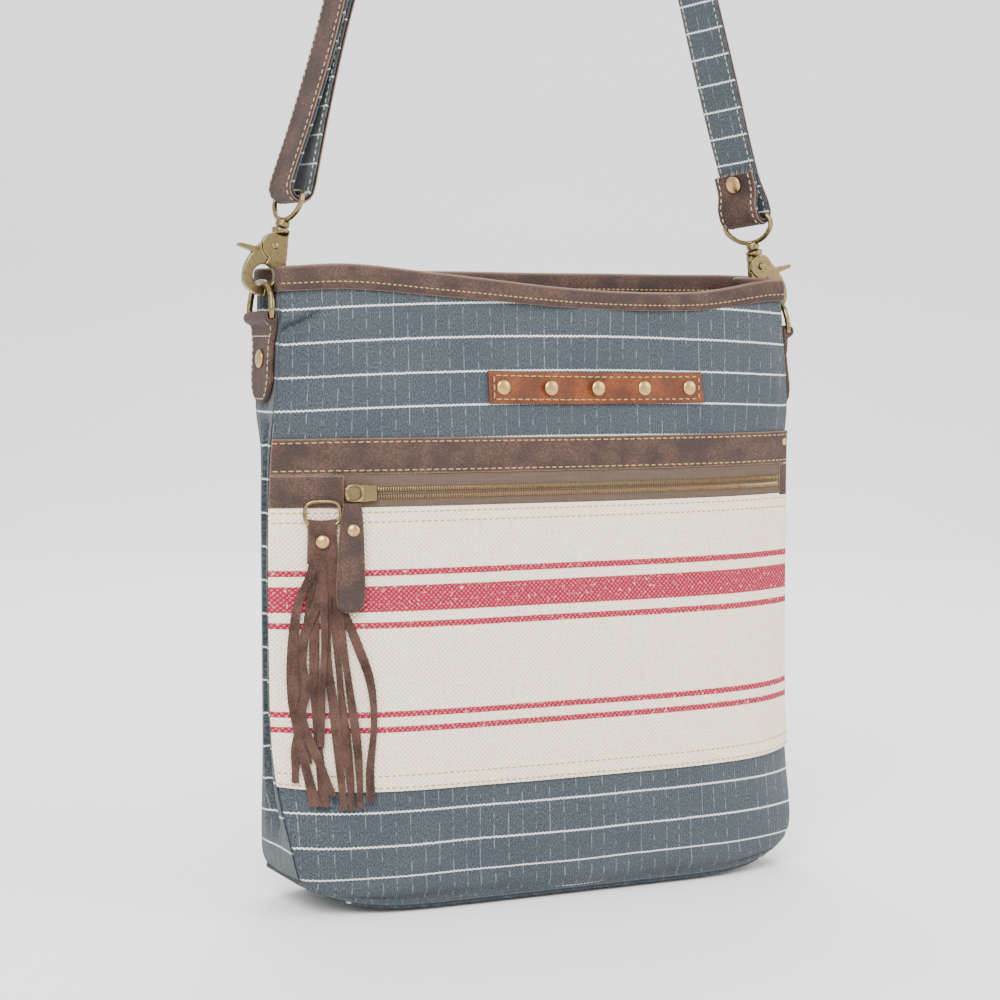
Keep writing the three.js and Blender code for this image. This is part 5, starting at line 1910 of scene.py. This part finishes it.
@dataclass(frozen=True)
class Strap:
    """Long strap of denim backed with leather, from the slide over the top to the riveted end.

    Attributes:
        width: Its width.
        denim: Thickness of the denim.
        gap: Gap between the plies.
        leather: Thickness of the leather.
        loop: Radius of the turn round an eye's bar.
        centre: Height of that turn's middle over the bar.
        slide: Height of the slide's middle above the left bar.
        pitch: Distance between the slide's bars.
        wire: Radius of the slide's bars.
        bend: Radius of the turn at the top.
        end: Length of the riveted end.
        inset: Distance from an edge to its sewn row.
        yarns: Number of loose yarns at each end.
    """

    width: float = 25.0
    denim: float = 1.2
    gap: float = 0.3
    leather: float = 1.4
    loop: float = 4.4
    centre: float = 2.3
    slide: float = 150.0
    pitch: float = 16.0
    wire: float = 1.5
    bend: float = 22.0
    end: float = 24.0
    inset: float = 2.3
    yarns: int = 46

    def turn(
        self, line: HookLine, centre: Pair, radius: float, span: Pair, count: int
    ) -> tuple[Array, Array]:
        """Arc in a hook's plane.

        Args:
            line: The hook's line.
            centre: Height and distance out of its middle.
            radius: Its radius.
            span: First and last angle.
            count: Number of points.

        Returns:
            Points and heights.
        """
        angle = np.linspace(span[0], span[1], count)
        rows = np.array(centre) + radius * np.stack([np.sin(angle), np.cos(angle)], -1)
        return line.point(rows), rows[:, 0]

    def rows(self, line: HookLine, table: Sequence[Pair], count: int) -> tuple[Array, Array]:
        """Smooth stretch beside a hook's line.

        Args:
            line: The hook's line.
            table: Heights and distances out.
            count: Number of points.

        Returns:
            Points and heights.
        """
        rows = curve_through(table, count)
        return line.point(rows), rows[:, 0]

    def stations(self) -> tuple[Array, Array, Array]:
        """The strap's whole path on its denim face.

        Returns:
            Points, heights above the nearer bar and whether the right line turns them.
        """
        left, right = LEFT_LINE, RIGHT_LINE
        top, pitch, loop = self.slide, self.pitch, self.loop
        stack = self.denim + self.gap + self.leather
        bar = self.wire + self.gap
        under, pair, over = -stack, 2 * self.gap, 2 * bar + stack + 0.8
        lean = math.tan(math.radians(left.tilt))
        rise = ((right.bar[0] - left.bar[0]) / lean + right.bar[2] - left.bar[2]) / 2
        meet = np.array([left.bar[0] + rise * lean, 0.0, left.bar[2] + rise])
        centre = meet - np.array([0, 0, self.bend / math.sin(math.radians(left.tilt))])
        reach = math.pi / 2 - math.radians(left.tilt)
        angle = np.linspace(-reach, reach, 50)
        arc = centre + self.bend * np.stack([np.sin(angle), 0 * angle, np.cos(angle)], -1)

        def line_end(line: HookLine) -> float:
            """Height at which a line meets the top bend."""
            return (meet[2] - line.bar[2]) / math.cos(math.radians(line.tilt)) - self.bend / lean

        parts = [
            (*self.turn(left, (top, bar), bar, (-0.2, math.pi), 16), 0),
            (*self.rows(left, (
                (top - 3, 0), (top - 7.2, -0.6), (top - pitch, under - pair - 0.2),
                (top - 27.2, under - pair), (top - 41.6, -pair), (75, -pair), (36, -pair - 1.6),
                (self.centre + 4, -loop + 0.1),
            ), 90), 0),
            (*self.turn(left, (self.centre, 0), loop, (math.pi, 2 * math.pi), 22), 0),
            (*self.rows(left, (
                (self.centre + 4, loop - 0.1), (36, pair + 1.6), (75, pair), (top - 41.6, pair),
                (top - 27.2, under + 1.2), (top - pitch - 3.6, under), (top - pitch + 3.6, under),
                (top - 3.6, over), (top + 3.6, over), (top + pitch - 3.6, under),
                (top + pitch + 3.6, under), (top + 2 * pitch, 0), (top + 3 * pitch, 0),
            ), 150), 0),
            (*self.rows(left, ((top + 3 * pitch, 0), (line_end(left), 0)), 100), 0),
            (arc, np.full(len(arc), 1e6), 1),
            (*self.rows(right, ((line_end(right), 0), (2 * self.end, 0)), 170), 1),
            (*self.rows(right, (
                (2 * self.end, 0), (1.4 * self.end, 0.4), (0.8 * self.end, pair + 0.6),
                (self.centre + 4, loop - 0.1),
            ), 40), 1),
            (*self.turn(right, (self.centre, 0), loop, (0, -math.pi), 22), 1),
            (*self.rows(right, (
                (self.centre + 4, -loop + 0.1), (0.6 * self.end, -pair - 0.2), (self.end, -pair),
            ), 24), 1),
        ]
        points = np.concatenate([p for p, _, _ in parts])
        height = np.concatenate([h for _, h, _ in parts])
        which = np.concatenate([np.full(len(h), w) for _, h, w in parts])
        keep = np.concatenate([[True], np.linalg.norm(np.diff(points, axis=0), axis=1) > 0.35])
        return points[keep], height[keep], which[keep]

    def twisted(self, grid: Array, height: Array, which: Array, vector: bool = False) -> Array:
        """Turns a grid with the twist of the line that each row belongs to."""
        made = LEFT_LINE.turned(grid, height, vector)
        made[which == 1] = RIGHT_LINE.turned(grid, height, vector)[which == 1]
        return made

    def laid(self) -> tuple[Array, Array, Array, Array]:
        """The strap's path with its normals.

        Returns:
            Points, normals away from the denim face, heights and whether the right line turns them.
        """
        points, height, which = self.stations()
        way = unit(np.gradient(points, axis=0))
        normal = np.stack([-way[:, 2], 0 * way[:, 0], way[:, 0]], -1)
        return points, normal, height, which

    def ply(self, name: str, finish: Finish, low: float, high: float, node: str) -> None:
        """Builds one ply of the strap.

        Args:
            name: Object name.
            finish: Its finish.
            low: Distance of its lower face from the denim face.
            high: Distance of its upper face.
            node: CAD node that it replaces.
        """
        points, normal, height, which = self.laid()
        run = run_of(points)
        u = np.array([-1, -0.97, -0.9, -0.7, -0.4, -0.1, 0.1, 0.4, 0.7, 0.9, 0.97, 1])
        uneven = 0.25 * np.sin(run / 17)[:, None] * u[None]
        across = np.array([0.0, 1.0, 0.0])
        flat = points[:, None] + across * (u[None] * self.width / 2 + uneven)[..., None]
        soft = (high - low) * 0.3 * (np.abs(u) > 0.95)[None, :, None]
        outer = flat + normal[:, None] * (high - soft)
        inner = flat + normal[:, None] * (low + soft)
        # Nearness to the strap's edge: painted shade on the denim ply, rubbed wear on the leather.
        edge = np.abs(u)[None] ** 14 * np.ones_like(run)[:, None]
        cloth = np.stack(np.broadcast_arrays(u[None] * self.width / 2, run[:, None], edge), -1)
        piece = Piece(name, finish)
        piece.slab(self.twisted(outer, height, which), self.twisted(inner, height, which), cloth)
        piece.build(node, world=True, smooth=60)

    def stitches(self) -> None:
        """Builds the sewn rows along both edges on both faces."""
        points, normal, height, which = self.laid()
        high = self.denim + self.gap + self.leather
        piece = Piece("strap_stitches", CREAM_THREAD)
        for off, sign in ((high, 1), (0.0, -1)):
            for edge in (-1, 1):
                across = np.array([0, edge * (self.width / 2 - self.inset), 0])
                path = self.twisted(points + normal * off + across, height, which)
                up = self.twisted(normal * sign, height, which, vector=True)
                STRAP_ROW.sew(piece, path, up, 70 + edge + sign * 5)
        piece.build(world=True)

    def fray(self) -> None:
        """Builds the loose pale yarns at the riveted end and at the other end."""
        points, height, which = self.stations()
        rng = random.Random(9)
        piece = Piece("strap_fray", CREAM_THREAD)
        ring = np.array([(math.cos(a), math.sin(a)) for a in np.arange(4) * math.pi / 2])
        for last, before in ((-1, -4), (0, 3)):
            tip = points[last]
            way = unit(points[last] - points[before])
            normal = np.array([-way[2], 0.0, way[0]]) * (1 if last == -1 else -1)
            for _ in range(self.yarns):
                across = rng.uniform(-0.5, 0.5) * self.width
                start = tip + np.array([0, across, 0]) + normal * rng.uniform(0.2, 1.1) - way * 0.4
                length = rng.uniform(0.8, 2.6)
                lean = np.array([0, rng.uniform(-0.5, 0.5), 0])
                bend = normal * rng.uniform(-0.5, 0.6)
                rings = []
                for f in (0.0, 0.35, 0.7, 1.0):
                    centre = start + (way + lean * f + bend * f * f) * length * f
                    size = 0.13 * (1 - 0.6 * f)
                    rings.append(centre + size * (ring[:, :1] * np.array([0, 1, 0])
                                                  + ring[:, 1:] * normal))
                rings = np.array(rings)
                piece.tube(self.twisted(rings, np.full(len(rings), height[last]),
                                        np.full(len(rings), which[last])))
        piece.build(world=True)

    def build(self) -> None:
        """Builds both plies, the stitches and the frayed ends."""
        low = self.denim + self.gap
        self.ply("strap_denim_ply", STRAP_DENIM, 0.0, self.denim, "strap_denim")
        self.ply("strap_leather_ply", BROWN, low, low + self.leather, "strap_leather")
        self.stitches()
        self.fray()


@dataclass(frozen=True)
class SideTabs:
    """Leather tabs at the sides that hold the D-rings.

    Attributes:
        inset: Distance from the edge to the sewn line.
        sewn_height: Height up to which the edge is sewn, above the tab's low end.
        neck: Height of the row across the neck.
    """

    inset: float = 2.1
    sewn_height: float = 44.0
    neck: float = 33.0

    def sewn(self, obj: bpy.types.Object, side: Side) -> None:
        """Sews the edge of a tab and a row across its neck.

        Args:
            obj: The tab.
            side: Side of the bag.
        """
        points = vertex_values(obj.data, "co") / MM
        normals = vertex_values(obj.data, "normal")
        outer = normals[:, 0] * side.value > 0.6
        points, normals = points[outer], normals[outer]
        low = points[:, 2].min()

        def surface(y: float, z: float) -> tuple[Array, Array]:
            """Nearest place of the outer face and its normal."""
            gap = (points[:, 1] - y) ** 2 + (points[:, 2] - z) ** 2
            near = np.argsort(gap)[:6]
            normal = normals[near].mean(axis=0)
            x = points[near, 0].mean() + 0.05 * side.value
            return np.array([x, y, z]), normal / np.linalg.norm(normal)

        levels = np.arange(low + 0.8, low + self.sewn_height, 1.5)
        near = [np.abs(points[:, 2] - z) < 1.2 for z in levels]
        reach = [np.abs(points[rows, 1]).max(initial=0) for rows in near]
        half = np.maximum(0.0, np.array(reach) - self.inset)
        lift = low + self.inset
        use = levels > lift
        ys = np.concatenate([half[use][::-1], [0.0], -half[use]])
        zs = np.concatenate([levels[use][::-1], [lift], levels[use]])
        piece = Piece(f"tab_stitches_{side.label}", CREAM_THREAD)
        z = low + self.neck
        wide = half[np.argmin(np.abs(levels - z))]
        edge = zip(ys, zs)
        neck = ((y, z) for y in np.linspace(-wide, wide, 16))
        for row, places, seed in ((TAB_ROW, edge, 80), (NECK_ROW, neck, 90)):
            path, out = (np.array(c) for c in zip(*(surface(*place) for place in places)))
            row.sew(piece, path, out, seed + side.value)
        piece.build(world=True)

    def build(self) -> None:
        """Builds both tabs."""
        for side in Side:
            obj = Softened(f"side_tab_{side.label}", BROWN, ROOT_BODY, 0.55, 6).build()
            self.sewn(obj, side)


@dataclass(frozen=True)
class Studio:
    """Camera, floor and light.

    Attributes:
        place: Camera's place in the bag's own mm.
        aim: Direction that it looks in.
        lens: Focal length in mm.
        sensor: Width of the camera's sensor in mm.
        sky: Strength of the light from all around.
        sweep: Section of the floor in metres: distance back and height.
        half_floor: Half the floor's width in metres.
    """

    place: Place = (-545.3, -1101.1, 281.5)
    aim: Place = (0.4296, 0.9006, -0.0662)
    lens: float = 84.456
    sensor: float = 36.0
    sky: float = 1.45
    sweep: tuple[Pair, ...] = (
        (-4.0, 0.0), (1.6, 0.0), (2.2, 0.02), (2.7, 0.14), (3.1, 0.42), (3.3, 0.9), (3.4, 4.5),
    )
    half_floor: float = 5.0

    def camera(self) -> None:
        """Stands the camera where the photograph was taken from."""
        data = bpy.data.cameras.new("photo_camera")
        data.lens = self.lens
        data.sensor_width = self.sensor
        data.clip_end = 50.0
        obj = bpy.data.objects.new("photo_camera", data)
        obj.location = Vector((np.array(self.place) + ORIGIN) * MM)
        obj.rotation_euler = Vector(self.aim).to_track_quat("-Z", "Y").to_euler()
        bpy.context.scene.collection.objects.link(obj)
        bpy.context.scene.camera = obj

    def floor(self) -> None:
        """Lays a pale floor that bends up behind the bag."""
        ground = ORIGIN[2] * MM
        line = curve_through(self.sweep, 60)
        wide = (-self.half_floor, self.half_floor)
        ahead = Vector(self.aim).normalized()
        right = Vector((ahead.y, -ahead.x, 0)).normalized()
        back = Vector((-right.y, right.x, 0))
        verts = [right * w + back * y + Vector((0, 0, ground + z)) for y, z in line for w in wide]
        faces = [(2 * i, 2 * i + 1, 2 * i + 3, 2 * i + 2) for i in range(len(line) - 1)]
        mesh = bpy.data.meshes.new("studio_floor")
        mesh.from_pydata([tuple(v) for v in verts], [], faces)
        mesh.polygons.foreach_set("use_smooth", [True] * len(mesh.polygons))
        material = bpy.data.materials.new("pale_paper")
        material.use_nodes = True
        graph = Graph(material.node_tree)
        shader = material.node_tree.nodes["Principled BSDF"]
        place = graph.add("TexCoord").outputs["Object"]
        tone = graph.mix(graph.noise(place, 3.0), (0.86, 0.86, 0.86, 1), (0.9, 0.9, 0.9, 1))
        graph.fill(shader, {"Base Color": tone, "Roughness": 0.9, "Specular IOR Level": 0.1})
        mesh.materials.append(material)
        obj = bpy.data.objects.new("studio_floor", mesh)
        bpy.context.scene.collection.objects.link(obj)

    def lamp(self, name: str, place: Place, size: float, power: float) -> None:
        """Hangs one square lamp that shines at the bag.

        Args:
            name: Its name.
            place: Its place in metres from the bag's middle.
            size: Its side in metres.
            power: Its power in watts.
        """
        data = bpy.data.lights.new(name, "AREA")
        data.size = size
        data.energy = power
        obj = bpy.data.objects.new(name, data)
        middle = Vector((0.0, 0.0, ORIGIN[2] * MM + 0.2))
        obj.location = middle + Vector(place)
        obj.rotation_euler = (-Vector(place)).to_track_quat("-Z", "Y").to_euler()
        bpy.context.scene.collection.objects.link(obj)

    def build(self) -> None:
        """Builds the whole studio."""
        self.camera()
        self.floor()
        world = bpy.data.worlds.new("studio")
        bpy.context.scene.world = world
        world.use_nodes = True
        background = world.node_tree.nodes["Background"]
        background.inputs[0].default_value = (1.0, 1.0, 1.0, 1.0)
        background.inputs[1].default_value = self.sky
        self.lamp("key", (-1.3, -1.9, 1.7), 1.6, 112.0)
        self.lamp("fill", (1.9, -1.5, 1.0), 1.6, 36.0)
        self.lamp("rim", (0.6, 1.6, 1.9), 1.4, 52.0)


def main() -> None:
    """Builds the bag around its frame, then the studio."""
    logging.basicConfig(level=logging.INFO, format="%(message)s")
    body = DenimBody()
    body.walls()
    body.base()
    body.seam_cord()
    MouthBinding().build()
    FrontTrim().build()
    ZipPull().build()
    Tassel().build()
    TasselRing().build()
    Hardware().build()
    SideTabs().build()
    Rivets().build()
    Strap().build()
    Studio().build()


if __name__ == "__main__":
    main()
